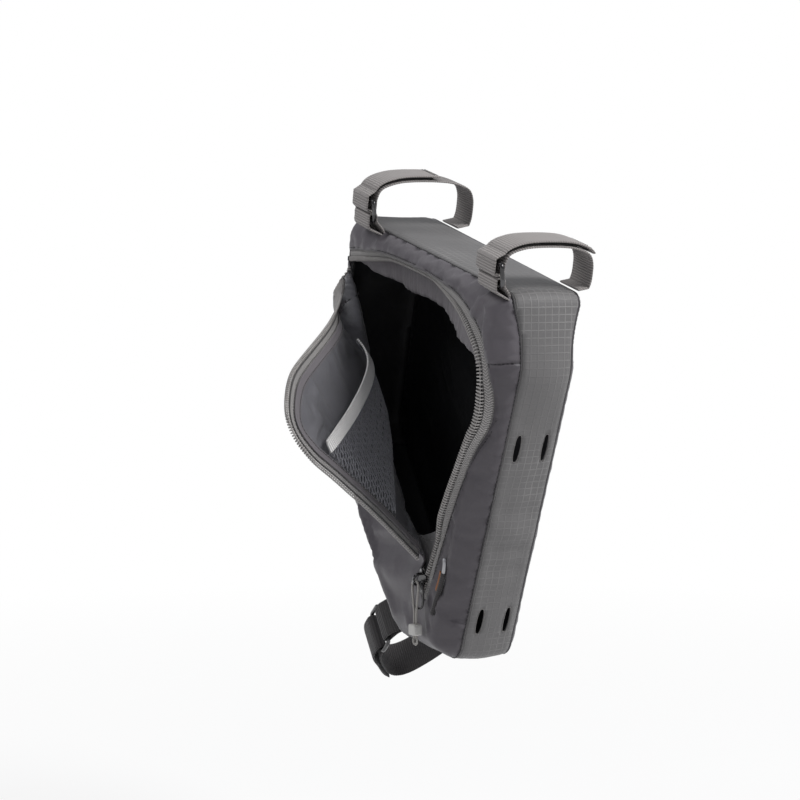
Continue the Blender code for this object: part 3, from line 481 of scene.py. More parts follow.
def thicken(name, points, faces, looks, thick=CLOTH_T, weave=None, inner=None):
    """Closed cloth from its outer skin; a second look is the lining on the inner side."""
    points = np.array(points, float)
    count = len(points)
    if inner is None:
        inner = points - normals(points, faces) * thick
    shells = [tuple(f) for f in faces] + [tuple(count + k for k in reversed(f)) for f in faces]
    edges = {(a, b) for f in faces for a, b in zip(f, tuple(f[1:]) + (f[0],))}
    rim = [(b, a, count + a, count + b) for a, b in sorted(edges) if (b, a) not in edges]
    parts = [0] * len(faces) + [1] * len(faces) + [0] * len(rim)
    if not isinstance(looks, (list, tuple)):
        parts = None
    both = None if weave is None else np.vstack([weave, weave])
    return make(name, np.vstack([points, inner]), shells + rim, looks, both, parts)


def grid_faces(rows, cols, wrap=False, flip=False):
    faces = []
    for i in range(rows - 1):
        for j in range(cols if wrap else cols - 1):
            k = (j + 1) % cols
            quad = (i * cols + j, i * cols + k, (i + 1) * cols + k, (i + 1) * cols + j)
            faces.append(quad[::-1] if flip else quad)
    return faces


def hex_grid(low, high, pitch):
    gx, gz = np.meshgrid(np.arange(low[0], high[0], pitch),
                         np.arange(low[1], high[1], pitch * 0.87))
    gx[1::2] += pitch / 2
    return np.stack([gx.ravel(), gz.ravel()], 1)


CREASE_REACH = 8.0           # how far from a crease the mesh is finer
CREASE_PITCH = 0.45          # and its pitch there, as a share of the rest


def cut(polygon, pitch=FINE, holes=(), crease=None):
    """Triangles of a flat polygon: its outline, a loose hex grid inside, and open holes.

    The grid is finer beside a crease.
    """
    poly = resample(closed_line(polygon), pitch * 0.8)[:-1]
    low, high = poly.min(0), poly.max(0)
    loose = hex_grid(low, high, pitch)
    if crease is not None:
        dense = hex_grid(low, high, pitch * CREASE_PITCH)
        loose = np.vstack([loose[line_distance(loose, crease) > CREASE_REACH + 1.0],
                           dense[line_distance(dense, crease) < CREASE_REACH]])
    loose = loose[inside(loose, poly)]
    keep = line_distance(loose, closed_line(poly)) > pitch * (0.55 if crease is None else 0.3)
    for hole in holes:
        keep &= line_distance(loose, closed_line(hole)) > pitch * 0.3
        keep &= ~inside(loose, hole)
    loose = loose[keep]
    pts = np.vstack([poly, *holes, loose])
    edges, start = [], len(poly)
    for hole in holes:
        edges += [(start + i, start + (i + 1) % len(hole)) for i in range(len(hole))]
        start += len(hole)
    coords, _, tris, _, _, _ = delaunay_2d_cdt(
        [Vector(p) for p in pts], edges, [list(range(len(poly)))], 1, 1e-5)
    flat = np.array([tuple(c) for c in coords])
    tris = np.array([tuple(t) for t in tris])
    middle = flat[tris].mean(1)
    for hole in holes:
        tris = tris[~inside(middle, hole)]
        middle = flat[tris].mean(1)
    return flat, [tuple(t) for t in tris], poly


def band(name, path, widths, depths, look, thick, open_flap=False, ripple=None, roll=False):
    """Strip of tape or facing laid on the side between offsets of a path."""
    rows, cols = len(path), len(widths)
    outer, inner, weave = [], [], []
    length = lengths(path)
    for k, (width, depth) in enumerate(zip(widths, depths)):
        lift = np.zeros(rows) if ripple is None else ripple(length, k / (cols - 1))
        for rows_at, level in ((outer, depth + lift), (inner, depth + thick + lift)):
            laid = rolled(path, width, level) if roll else side(offset(path, width), level)
            rows_at.append(laid)
        weave.append(lay(length, width))
    outer, inner, weave = weft(outer), weft(inner), weft(weave)
    if open_flap:
        outer, inner = fold(outer), fold(inner)
    return thicken(name, outer, grid_faces(rows, cols), look, weave=weave, inner=inner)


def tubes(name, lines, look, radius, sides=5, closed=False):
    """Round strands along several 3-D lines, as one object."""
    points, faces, base = [], [], 0
    for line in lines:
        line = np.array(line, float)
        count = len(line)
        if closed:
            run = np.roll(line, -1, 0) - np.roll(line, 1, 0)
        else:
            run = np.gradient(line, axis=0)
        run /= np.maximum(np.linalg.norm(run, axis=1), 1e-9)[:, None]
        pole = np.eye(3)[np.abs(run).mean(0).argmin()]
        across = np.cross(run, pole)
        across /= np.linalg.norm(across, axis=1)[:, None]
        other = np.cross(run, across)
        a = np.arange(sides) * 2 * math.pi / sides
        ring = (across[:, None] * np.cos(a)[None, :, None]
                + other[:, None] * np.sin(a)[None, :, None])
        points.append((line[:, None] + ring * radius).reshape(-1, 3))
        part = grid_faces(count, sides, wrap=True, flip=True)
        if closed:
            last = (count - 1) * sides
            part += [(last + j, j, (j + 1) % sides, last + (j + 1) % sides) for j in range(sides)]
        else:
            part += [tuple(range(sides)),
                     tuple((count - 1) * sides + j for j in reversed(range(sides)))]
        faces += [tuple(base + k for k in f) for f in part]
        base += count * sides
    return make(name, np.vstack(points), faces, look)


def sew(name, line, body, slot, look="thread", pitch=2.6, length=1.8, radius=0.26):
    """Thread along a seam, one short strand for each stitch."""
    path = resample(line, 0.1)
    s = lengths(path)
    lines = []
    for start in np.arange(0.6, s[-1] - length, pitch):
        at = np.linspace(start, start + length, 4)
        lines.append(np.stack([np.interp(at, s, path[:, k]) for k in range(3)], 1))
    dress(tubes(name, lines, look, radius), body, slot)


CLOTH_RULES = {"quality": 6, "mass": 0.12, "tension_stiffness": 12.0,
               "compression_stiffness": 12.0, "shear_stiffness": 4.0, "bending_stiffness": 0.35}
SLACK_WEIGHT = 0.15          # share of gravity that shapes the cloth
SETTLE_FRAMES = 16


def settle(points, faces, pinned, grow, cap):
    """Cloth simulation of slack fabric held along its seams; each point moves at most cap."""
    obj = make("settling", points, faces, "shell_nylon")
    group = obj.vertex_groups.new(name="pins")
    group.add([int(i) for i in np.flatnonzero(pinned)], 1.0, "REPLACE")
    cloth = obj.modifiers.new("cloth", "CLOTH")
    rules = cloth.settings
    for key, value in CLOTH_RULES.items():
        setattr(rules, key, value)
    rules.vertex_group_mass = "pins"
    rules.shrink_min = -grow
    rules.effector_weights.gravity = SLACK_WEIGHT
    cloth.collision_settings.use_collision = False
    cloth.point_cache.frame_start = 1
    cloth.point_cache.frame_end = SETTLE_FRAMES
    scene = bpy.context.scene
    for number in range(1, SETTLE_FRAMES + 1):
        scene.frame_set(number)
    shaped = obj.evaluated_get(bpy.context.evaluated_depsgraph_get()).data
    out = np.zeros(len(points) * 3, np.float32)
    shaped.vertices.foreach_get("co", out)
    out = (out.reshape(-1, 3) / MM) @ LEAN
    scene.frame_set(1)
    bpy.data.objects.remove(obj, do_unlink=True)
    move = out - points
    size = np.maximum(np.linalg.norm(move, axis=1), 1e-9)[:, None]
    return points + move * np.minimum(1.0, cap / size)


# ---------------------------------------------------------------- materials

LOOKS = {}


class Value:
    """A number in a node tree. Arithmetic on it adds Math nodes."""

    def __init__(self, socket):
        self.socket = socket

    def maths(self, operation, *others, clamp=False):
        return Value(add(self.socket.id_data, "Math", dict(enumerate([self, *others])),
                         operation=operation, use_clamp=clamp).outputs[0])

    def __add__(self, other):
        return self.maths("ADD", other)

    def __sub__(self, other):
        return self.maths("SUBTRACT", other)

    def __mul__(self, other):
        return self.maths("MULTIPLY", other)

    def __truediv__(self, other):
        return self.maths("DIVIDE", other)


def add(tree, kind, inputs=(), **settings):
    """Node with its settings and inputs, each input a number, a Value or a node's socket."""
    node = tree.nodes.new("ShaderNode" + kind)
    for key, value in settings.items():
        setattr(node, key, value)
    for key, value in dict(inputs).items():
        value = getattr(value, "socket", value)
        if isinstance(value, bpy.types.NodeSocket):
            tree.links.new(value, node.inputs[key])
        else:
            node.inputs[key].default_value = value
    return node


def mix(factor, a, b):
    """Socket of a colour between two, each a colour or a socket."""
    inputs = {0: factor, 6: a, 7: b}
    for key in (6, 7):
        if isinstance(inputs[key], tuple):
            inputs[key] = (*inputs[key], 1.0)
    return add(factor.socket.id_data, "Mix", inputs, data_type="RGBA").outputs[2]


def shade(colour, factor):
    return tuple(c * factor for c in colour)


def shaded(factor, colour, low, high):
    """The colour between two shades of it."""
    return mix(factor, shade(colour, low), shade(colour, high))


def object_place(tree):
    return add(tree, "TexCoord").outputs["Object"]


def noise(tree, scale, detail):
    inputs = {"Scale": scale, "Detail": detail, "Vector": object_place(tree)}
    return Value(add(tree, "TexNoise", inputs).outputs["Fac"])


def axes_of(tree, vector):
    return [Value(socket) for socket in add(tree, "SeparateXYZ", {0: vector}).outputs]


def weave_axes(tree):
    """Along and across the cloth, in millimetres."""
    return axes_of(tree, add(tree, "Attribute", attribute_name="weave").outputs["Vector"])[:2]


def ridges(value, pitch):
    """0 to 1 and back once in each pitch."""
    return (value * (2 * math.pi / pitch)).maths("SINE") * 0.5 + 0.5


def near_line(value, pitch, at, width):
    """1 on a thin line at a place within each pitch, falling to 0 over width."""
    away = ((value / pitch).maths("FRACT") - at / pitch).maths("ABSOLUTE")
    return (away / (width / pitch)).maths("MINIMUM", 1.0) * -1.0 + 1.0


def fuzz(tint, tree, scale, detail, share, colour):
    """Stray fibres over a tint: their noise, and the tint with them."""
    fibre = noise(tree, scale, detail)
    return fibre, mix(fibre * share, tint, colour)


def start_look(name, roughness, metallic=0.0, sheen=0.0, specular=0.5, coat=0.0):
    material = bpy.data.materials.new(name)
    material.use_nodes = True
    shader = material.node_tree.nodes["Principled BSDF"]
    for key, value in (("Roughness", roughness), ("Metallic", metallic), ("Sheen Weight", sheen),
                       ("Sheen Roughness", 0.4), ("Specular IOR Level", specular),
                       ("Coat Weight", coat), ("Coat Roughness", 0.15)):
        shader.inputs[key].default_value = value
    LOOKS[name] = material
    return material.node_tree, shader


def finish_look(tree, shader, colour, height, depth, rough=None):
    """Colour, a bump of that depth in millimetres, and a varied roughness if given."""
    tree.links.new(colour, shader.inputs["Base Color"])
    bump = add(tree, "Bump", {"Height": height, "Distance": depth * MM, "Strength": 1.0})
    tree.links.new(bump.outputs[0], shader.inputs["Normal"])
    if rough is not None:
        low, high, factor = rough
        spread = add(tree, "MapRange", {"Value": factor, "To Min": low, "To Max": high})
        tree.links.new(spread.outputs[0], shader.inputs["Roughness"])


def nylon_look(name, colour, roughness, sheen=0.25, specular=0.5, spread=0.16):
    """Fine plain-woven nylon: threads too small to count, cloudy sheen, faint creases."""
    tree, shader = start_look(name, roughness, sheen=sheen, specular=specular)
    clouds, creases = noise(tree, 28.0, 4.0), noise(tree, 170.0, 6.0)
    tint = shaded(clouds, colour, 1 - spread, 1 + spread)
    fibre, tint = fuzz(tint, tree, 2600.0, 2.0, 0.5, shade(colour, 1.25))
    finish_look(tree, shader, tint, creases * 0.8 + fibre * 0.3, 0.28,
                (roughness - 0.06, roughness + 0.1, clouds))


def ripstop_look(name, colour, line_colour, roughness):
    """Ripstop: a plain ground crossed by heavier threads in a square grid."""
    tree, shader = start_look(name, roughness, sheen=0.2)
    along, across = weave_axes(tree)
    lines = near_line(along, GRID_PITCH, 2.3, 0.55).maths(
        "MAXIMUM", near_line(across, GRID_PITCH, 2.3, 0.55))
    ground = ridges(along, 0.8) * ridges(across, 0.8)
    clouds = noise(tree, 24.0, 4.0)
    tint = shaded(clouds, colour, 0.82, 1.18)
    _, tint = fuzz(tint, tree, 1900.0, 2.0, 0.5, shade(colour, 1.3))
    patches = noise(tree, 14.0, 3.0).maths("MULTIPLY_ADD", 3.2, -1.3, clamp=True)
    finish_look(tree, shader, mix(lines * patches, tint, line_colour), lines + ground * 0.4, 0.14,
                (roughness - 0.05, roughness + 0.1, clouds))


def webbing_look(name, colour, roughness):
    """Ribbed webbing: gaps between cross ribs painted dark as shade, split into threads across the
    width.
    """
    tree, shader = start_look(name, roughness, sheen=0.3)
    along, across = weave_axes(tree)
    threads = ridges(along * 0.55 + across, 1.1)
    # painted shade between the ribs and threads, painted light on their crowns
    body = (ridges(along, RIB_PITCH) * 0.75 + 0.25) * (threads * 0.35 + 0.65)
    fibre, tint = fuzz(shaded(body, colour, 0.25, 1.45), tree, 2200.0, 3.0, 0.3, colour)
    finish_look(tree, shader, tint, body + fibre * 0.4, 0.3)


def tape_look(name, colour, roughness, pitch, slope, coil_shadow_width=0.0):
    """Knitted tape or ribbed elastic: slanted threads that change hand in bands.

    When given, the last argument is the width beneath a zip's coil that is painted dark as the
    coil's shadow.
    """
    tree, shader = start_look(name, roughness, sheen=0.3)
    along, across = weave_axes(tree)
    threads = ridges(across.maths("PINGPONG", 1.5) * slope + along, pitch)
    fibre, tint = fuzz(shaded(threads, colour, 0.4, 1.35), tree, 2400.0, 3.0, 0.35, colour)
    if coil_shadow_width:
        # painted shadow: the tape under the coil is darkened as the coil's shadow
        under = across.maths("ABSOLUTE").maths("LESS_THAN", coil_shadow_width)
        tint = mix(under, tint, shade(colour, 0.2))
    finish_look(tree, shader, tint, threads + fibre * 0.5, 0.3)


def hard_look(name, colour, roughness, metallic, wear_and_highlight, coat=0.0):
    """Cast or moulded part: fine grain, with lighter patches that are worn spots and, on the dark
    metal, painted highlights.
    """
    tree, shader = start_look(name, roughness, metallic, coat=coat)
    grain, patches = noise(tree, 900.0, 4.0), noise(tree, 160.0, 5.0)
    # lighter patches: wear, and on the dark metal painted highlights
    tint = mix(patches.maths("GREATER_THAN", 0.58) * 0.6, shaded(grain, colour, 0.8, 1.2), wear_and_highlight)
    finish_look(tree, shader, tint, grain, 0.05, (roughness * 0.8, roughness * 1.5, patches))


def strand_look(name, colour, roughness, pitch):
    """Braided or twisted thread, its plaits read from the strand's own place."""
    tree, shader = start_look(name, roughness, sheen=0.3)
    _, over, up = (axis / MM for axis in axes_of(tree, object_place(tree)))
    plait = ridges(up + over, pitch) * ridges(up - over, pitch)
    fibre, tint = fuzz(shaded(plait, colour, 0.55, 1.2), tree, 3000.0, 3.0, 0.5, colour)
    finish_look(tree, shader, tint, plait + fibre, 0.12)


def hook_look(name, colour):
    """Field of tiny hooks."""
    tree, shader = start_look(name, 0.9, sheen=0.1)
    inputs = {"Vector": object_place(tree), "Scale": 1300.0}
    cells = Value(add(tree, "TexVoronoi", inputs).outputs["Distance"])
    finish_look(tree, shader, shaded(cells, colour, 2.2, 0.4), cells, 0.5)


def make_looks():
    nylon_look("shell_nylon", (0.090, 0.081, 0.092), 0.54)
    # painted shade: a darker copy of the shell nylon for the lower side panel and flap
    nylon_look("shaded_side_nylon", (0.062, 0.055, 0.064), 0.52)
    # painted shade: a darker copy of the shell nylon, used for the seam piping
    nylon_look("lower_nylon", (0.050, 0.047, 0.049), 0.55)
    # painted shade: the lining inside the bag is painted near black for the shade that falls
    # inside it
    nylon_look("lining", (0.010, 0.010, 0.012), 0.5, 0.05)
    nylon_look("flap_lining", (0.150, 0.148, 0.162), 0.34, 0.2, 0.8, 0.3)
    nylon_look("facing", (0.140, 0.128, 0.138), 0.6)
    nylon_look("web_cloth", (0.30, 0.29, 0.295), 0.6)
    ripstop_look("ripstop", (0.135, 0.131, 0.131), (0.285, 0.278, 0.272), 0.55)
    # webbing with painted shade between its ribs
    webbing_look("grey_webbing", (0.300, 0.278, 0.268), 0.8)
    webbing_look("black_webbing", (0.034, 0.031, 0.032), 0.75)
    # the last number is the width under the coil painted dark as the coil's shadow
    tape_look("zip_tape", (0.320, 0.306, 0.298), 0.8, 1.5, 0.8, 4.2)
    tape_look("pocket_elastic", (0.790, 0.775, 0.760), 0.8, 1.6, 0.0)
    hard_look("zip_coil", (0.370, 0.352, 0.340), 0.36, 0.0, (0.42, 0.41, 0.40))
    # the lighter patches of the dark metal are partly painted highlights
    hard_look("dark_metal", (0.045, 0.044, 0.046), 0.2, 1.0, (0.30, 0.30, 0.31))
    hard_look("ring_metal", (0.030, 0.029, 0.031), 0.16, 0.6, (0.10, 0.10, 0.105), coat=0.6)
    hard_look("cord_bead", (0.50, 0.49, 0.47), 0.4, 0.0, (0.60, 0.59, 0.57))
    hard_look("reflective_tab", (0.36, 0.36, 0.375), 0.3, 0.6, (0.6, 0.6, 0.62))
    strand_look("pocket_mesh", (0.260, 0.258, 0.285), 0.7, 0.9)
    strand_look("pull_cord", (0.42, 0.40, 0.375), 0.75, 1.3)
    strand_look("thread", (0.012, 0.011, 0.012), 0.7, 0.7)
    strand_look("pale_thread", (0.20, 0.19, 0.185), 0.7, 0.7)
    tape_look("orange_label", (0.45, 0.15, 0.035), 0.75, 0.7, 0.5)
    hook_look("hook_pad", (0.018, 0.017, 0.016))


# ---------------------------------------------------------------- the bag's body

FOLD = "fold"                # spans the bag and the open flap; such pieces are left unattached


def dress(obj, body, slot, *nodes):
    """Rides on its body and stands for CAD nodes. The slot is not used."""
    if nodes:
        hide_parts(*nodes)
    if body == FOLD:
        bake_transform(obj)
    else:
        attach(obj, body)


def sewn(obj, flat, tris):
    """Works out the area and size of the flat pattern, in millimetres, that the cloth is made
    from, and returns the object unchanged.
    """
    a, b, c = (flat[[t[k] for t in tris]] for k in range(3))
    u, v = b - a, c - a
    area = float(np.abs(u[:, 0] * v[:, 1] - u[:, 1] * v[:, 0]).sum()) / 2 * MM * MM
    size = (flat.max(0) - flat.min(0)) * MM
    min(area, float(size.prod()))
    return obj


def strip_points(first, last):
    """Tables along the band: length, place, inward direction and half width."""
    k = outline_rows(first, last)
    return lengths(OUT[k, :2]), OUT[k, :2], OUT_IN[k], OUT[k, 2]


def on_strip(ends, flat, relief, lift=0.0):
    """Points of the band round the bag, from lengths along it and y, some lift above it."""
    s, place, inward, half = strip_points(*ends)
    x, z, to_x, to_z = (np.interp(flat[:, 0], s, c) for c in (*place.T, *inward.T))
    margin = np.interp(flat[:, 0], s, half) - np.abs(flat[:, 1])
    deep = SEAM_DIP * np.exp(-margin / SEAM_REACH) + relief(flat, margin) - lift
    return np.stack([x + to_x * deep, flat[:, 1], z + to_z * deep], 1)


def strip(label, ends, look, relief, holes=()):
    """One panel of the band that runs round the bag between its two sides."""
    s, _, _, half = strip_points(*ends)
    reach = half - GAP / 2
    edge = np.concatenate([np.stack([s, -reach], 1), np.stack([s, reach], 1)[::-1]])
    flat, tris, _ = cut(edge, FINE, holes)
    # painted shade: the inner side of each strip is the lining painted near black
    skin = thicken(label + "_skin", on_strip(ends, flat, relief), tris, [look, "lining"], CLOTH_T,
                   lay(*flat.T))
    node = "rear_gusset" if label == "gusset" else label + "_panel"
    dress(sewn(skin, flat, tris), "bag", look, node)


TOP_A, TOP_B = index_near(-112.0, 0.0), index_near(96.0, 0.0)
LOW_A = index_near(22.0, -257.0)
NOSE_A, NOSE_B = index_near(-6.0, -255.3), index_near(-121.0, -165.6)
GUSSET = (TOP_B, LOW_A)
SLOT_Z = (-97.5, -219.5)
SLOT_Y = (-9.5, 9.5)
SLOT_LEN = 19.0
WRINKLES = [                 # share of the way between the slot pairs, width, depth
    (0.22, 5.0, 0.55), (0.36, 4.5, 0.8), (0.49, 5.5, -0.5), (0.57, 4.0, 1.1), (0.70, 4.0, 0.9),
    (0.84, 6.0, 0.5), (-0.35, 9.0, -0.5), (-0.12, 6.0, 0.35), (1.12, 6.0, 0.4),
]


def slot_loops():
    """Places of the lash slots along the rear gusset, and their lens outlines in (length, y)."""
    s, place, _, _ = strip_points(*GUSSET)
    middles = [s[np.abs(place[:, 1] - z).argmin()] for z in SLOT_Z]
    a = np.linspace(0, 2 * math.pi, 26, endpoint=False)
    return middles, [np.stack([middle + np.cos(a) * SLOT_LEN / 2,
                               y + 2.3 * swell(np.sin(a), 0.6)], 1)
                     for middle in middles for y in SLOT_Y]


def gusset_relief(flat, margin):
    """Soft cross wrinkles between the slot pairs, and cloth that pouts round each slot."""
    (high, low), loops = slot_loops()
    f = (flat[:, 0] - high) / (low - high)
    across = np.clip(margin / 9.0, 0, 1)
    deep = np.zeros(len(flat))
    for centre, tall, size in WRINKLES:
        tilt = flat[:, 1] * 0.12 * math.sin(centre * 9)
        away = (f - centre) * (low - high) + tilt
        deep += 1.7 * size * np.exp(-away ** 2 / (2 * tall ** 2)) * across
    for loop in loops:
        deep -= 0.5 * np.exp(-line_distance(flat, closed_line(loop)) / 2.0)
    return deep - 0.9 * np.clip(margin / 14.0, 0, 1) ** 2


def slack(sizes):
    """Quiet uneven waves for the panels that hang behind."""
    def relief(flat, margin):
        s, y = flat[:, 0], flat[:, 1]
        calm = np.clip(margin / 7.0, 0, 1)
        waves = np.sin(s / 9.0 + y / 14.0) * 0.3 + np.sin(s / 4.6 - y / 9.0 + 1.3) * 0.15
        return (waves * sizes - 0.8 * calm) * calm
    return relief


def build_strips():
    rims = slot_loops()[1]
    strip("top", (TOP_A, TOP_B), "ripstop", slack(0.6))
    strip("gusset", GUSSET, "ripstop", gusset_relief, rims)
    for label, *ends, sizes in (("bottom", LOW_A, NOSE_A, 1.0), ("downtube", NOSE_A, NOSE_B, 1.4),
                                ("front", NOSE_B, TOP_A, 1.2)):
        strip(label, ends, "shell_nylon", slack(sizes))
    lines = [on_strip(GUSSET, loop, gusset_relief, -0.2) for loop in rims]
    dress(tubes("slot_edges", lines, "pale_thread", 0.36, closed=True), "bag", "ripstop")


FRONT_AT = index_near(-129.2, -32.0)
SEAM_AT = index_near(114.0, -41.0)


def lip_line():
    """Folded edge of the side panels along the zip's fixed tape, and its corner at the seam."""
    lip = offset(zip_line(2.5), LIP)
    corner = int(np.hypot(lip[:, 0] - 100, lip[:, 1] + 44).argmin())
    return lip, corner


def near_top_polygon():
    lip, corner = lip_line()
    return np.vstack([outline_run(FRONT_AT, SEAM_AT), lip[corner::-1]])


def near_lower_polygon():
    """Lower side panel and flap in one piece of cloth, as it lies with the flap closed."""
    lip, corner = lip_line()
    across = np.array([-RUN[1], RUN[0]])
    notch = LOW - RUN * 19.0
    begin = unit(zip_line(2.5)[1] - TOP)
    aside = np.array([-begin[1], begin[0]])
    edge = zip_line(2.5, True, FLAP_ENDS)
    edge = offset(edge, flap_width(edge, ZIP_TAPE_FLAP - 1.0))
    lower = outline_run(SEAM_AT, FRONT_AT)
    return np.vstack([lower, TOP + aside * LIP - begin * 0.4, TOP - begin * 0.4, edge,
                      LOW - RUN * 6.0 + across * 8.4, notch + across * 7.4, notch - across * LIP,
                      lip[:corner - 1:-1]])


def shaped_side(flat):
    """Side panel points with the flap's part carried open."""
    points = near_side(flat)
    loop = np.vstack([zip_line(4.0), LOW, TOP])
    s = (points - ZIP_TOP) @ FLAP_UP
    moving = inside(flat, loop) | (s < 0.3)
    return np.where(moving[:, None], fold(points), points)


def pinned_edge(flat, line):
    """Which points lie on the sewn edge, and stay while the cloth settles."""
    return line_distance(flat, closed_line(line)) < 0.6


def near_side(flat):
    return side(flat, folds(flat))


def far_side(flat):
    return side(flat, far=True)


def build_sides():
    """Near side above the zip, near side with the flap, and far side, each settled as cloth."""
    top, low, bottom = "top_skin", "gusset_skin", "bottom_skin"
    for (name, polygon, crease, shape, grow, cap, look, inner, body, nodes, held, rests_on) in (
            # painted shade: the inner sides of the near top and far panels are the lining painted
            # near black
            ("near_top_skin", near_top_polygon(), None, near_side, 0.030, 5.0,
             "shell_nylon", "lining", "bag", ["near_top_panel"], "stretched", [top, low]),
            # painted shade: the outer look of this piece is a darker copy of the shell nylon
            ("side_and_flap", near_lower_polygon(), [TOP, LOW], shaped_side, 0.025, 5.0,
             "shaded_side_nylon", "flap_lining", FOLD, ["near_lower_panel", "zip_flap"], "hung",
             [low, bottom, "downtube_skin"]),
            ("far_skin", outline_run(0, len(OUT) - 1), None, far_side, 0.010, 1.6,
             "shell_nylon", "lining", "bag", ["far_side_panel"], "stretched", [top, low])):
        flat, tris, poly = cut(polygon, crease=crease)
        points = settle(shape(flat), tris, pinned_edge(flat, poly), grow, cap)
        if name == "far_skin":
            points[:, 1] *= -1
            tris = [t[::-1] for t in tris]
        skin = thicken(name, points, tris, [look, inner], weave=lay(*flat.T))
        dress(sewn(skin, flat, tris), body, "shell_nylon", *nodes)


def build_seams():
    """Stitched seams round both edges of the strip, and the short seam behind the zip."""
    rings = [stand(OUT[:, :2], sign * OUT[:, 2])
             + stand(OUT_IN, np.zeros(len(OUT))) * (SEAM_DIP + 0.25) for sign in (-1, 1)]
    # painted shade: the piping along both seams takes the darker copy of the shell nylon
    piping = tubes("seam_piping", rings, "lower_nylon", 0.62, 6, closed=True)
    dress(piping, "bag", "shell_nylon")
    lip, corner = lip_line()
    line = resample(np.array([lip[corner], OUT[SEAM_AT, :2]]), 0.5)[3:-3]
    for name, ring, raised in (("near_seam_stitching", rings[0], -0.5),
                               ("far_seam_stitching", rings[1], 0.5)):
        sew(name, closed_line(ring) + (0.0, raised, 0.0), "bag", "shell_nylon",
            pitch=2.8, length=1.9, radius=0.34)
    for name, far in (("short_seam_stitching", False), ("far_short_seam_stitching", True)):
        points = side(line, -0.05, far=far) * (1, -1 if far else 1, 1)
        sew(name, points, "bag", "shell_nylon")


# ---------------------------------------------------------------- zip

def coil(name, path, sign, open_flap=False):
    """One side of a coil zip: a row of bent wire teeth, and the cord that they are sewn over."""
    def place(across, depth):
        if sign > 0:
            return rolled(centre, across, depth)
        points = side(offset(centre, -across), depth)
        return fold(points) if open_flap else points
    centre = resample(path, COIL_PITCH)
    rows = [place(across, depth) for across, depth in COIL_TOOTH]
    lines = [np.stack([row[i] for row in rows]) for i in range(len(centre))]
    lines.append(place(2.3, 0.15))
    return tubes(name, lines, "zip_coil", COIL_WIRE, 6)


def build_zip():
    fixed = zip_line(1.5)
    tail = np.vstack([fixed, [fixed[-1] - RUN * t for t in (3, 6, 9, 12, 15, 18.6)]])
    tape = band("fixed_tape", tail, (3.0, 4.2, 5.6, 7.2, 8.2, 9.4),
                (0.4, 0.25, 0.2, 0.35, 0.9, 1.3), "zip_tape", 0.7, roll=True)
    dress(tape, "bag", "zip_tape", "zip_tape_fixed")
    # dark stitches, which also serve as the painted shade line between the tape and the cloth
    sew("fixed_tape_stitching", side(offset(fixed, LIP + 1.2), -0.3), "bag", "zip_tape")
    edge = side(offset(fixed[:-4], LIP - 0.1), 0.1)
    dress(tubes("fixed_tape_edge", [edge], "pale_thread", 0.36, 6), "bag", "zip_tape")
    chain = zip_line(1.5, ends=(3.0, 0.0))
    below = [chain[-1] - RUN * t for t in np.arange(1.5, 14.0, 1.5)]
    dress(coil("fixed_coil", np.vstack([chain, below]), 1), "bag", "zip_coil", "zip_teeth_fixed")
    foot = np.array([chain[-1] - RUN * t for t in np.arange(6.5, 14.0, 0.7)])
    dress(coil("foot_coil", foot, -1), "bag", "zip_coil", "zip_teeth_foot")

    def on_flap(name, ends, widths, depths, look, thick):
        loose = zip_line(1.5, True, ends)
        return band(name, loose, [flap_width(loose, w) for w in widths], depths, look, thick,
                    open_flap=True)
    dress(on_flap("flap_tape", FLAP_TAPE_ENDS, (3.2, 4.2, 5.6, 7.0, 8.6, 11.0),
                  (0.4, 0.35, 0.35, 0.4, 0.45, 0.5), "zip_tape", 0.8),
          FOLD, "zip_tape", "zip_tape_flap")
    dress(coil("flap_coil", zip_line(1.5, True, FLAP_TAPE_ENDS), -1, open_flap=True),
          FOLD, "zip_coil", "zip_teeth_flap")
    dress(on_flap("flap_binding", (10.0, 12.0), (7.6, 8.6, 10.6, 12.4, 13.0),
                  (1.75, 1.6, 1.6, 1.7, 1.9), "facing", 0.7), FOLD, "lining")
    for name, width, depth in (("flap_tape_stitching", -7.2, 1.25),
                               ("flap_edge_stitching", -12.0, 2.5)):
        line = fold(side(offset(zip_line(1.0, True, (18.0, 16.0)), width), depth))
        sew(name, line, FOLD, "zip_tape", radius=0.24)

    short = np.array([LOW - RUN * t for t in (4.0, 7.0, 11.0, 15.0, 18.6)])
    tape = band("foot_tape", short, (-3.2, -5.0, -7.4), (0.4, 0.3, 0.5), "zip_tape", 0.9)
    dress(tape, "bag", "zip_tape", "zip_tape_foot")


def prism(name, shapes, look, bevel, segments=3):
    """Plates with rounded edges: each shape is (plane points, origin, three axes, thickness)."""
    points, faces, base = [], [], 0
    for outline, origin, (a, b, c), (low, high) in shapes:
        count = len(outline)
        for height in (low, high):
            for u, v in outline:
                points.append(origin + a * u + b * v + c * height)
        faces.append(tuple(base + k for k in reversed(range(count))))
        faces.append(tuple(base + count + k for k in range(count)))
        faces += [(base + k, base + (k + 1) % count,
                   base + count + (k + 1) % count, base + count + k) for k in range(count)]
        base += 2 * count
    obj = make(name, np.array(points), faces, look)
    mod = obj.modifiers.new("round", "BEVEL")
    mod.width = bevel * MM
    mod.segments = segments
    mod.limit_method = "ANGLE"
    mod.harden_normals = True
    return obj


SLIDER_AT = ZIP_LOW * (1, 0, 1) - ZIP_RUN * (SLIDER_LEN / 2 + 1.0)
SLIDER_ACROSS, OUTWARD = np.array([-ZIP_RUN[2], 0.0, ZIP_RUN[0]]), np.array([0.0, -1.0, 0.0])
CROWN = SLIDER_TOP + SLIDER_PLATE


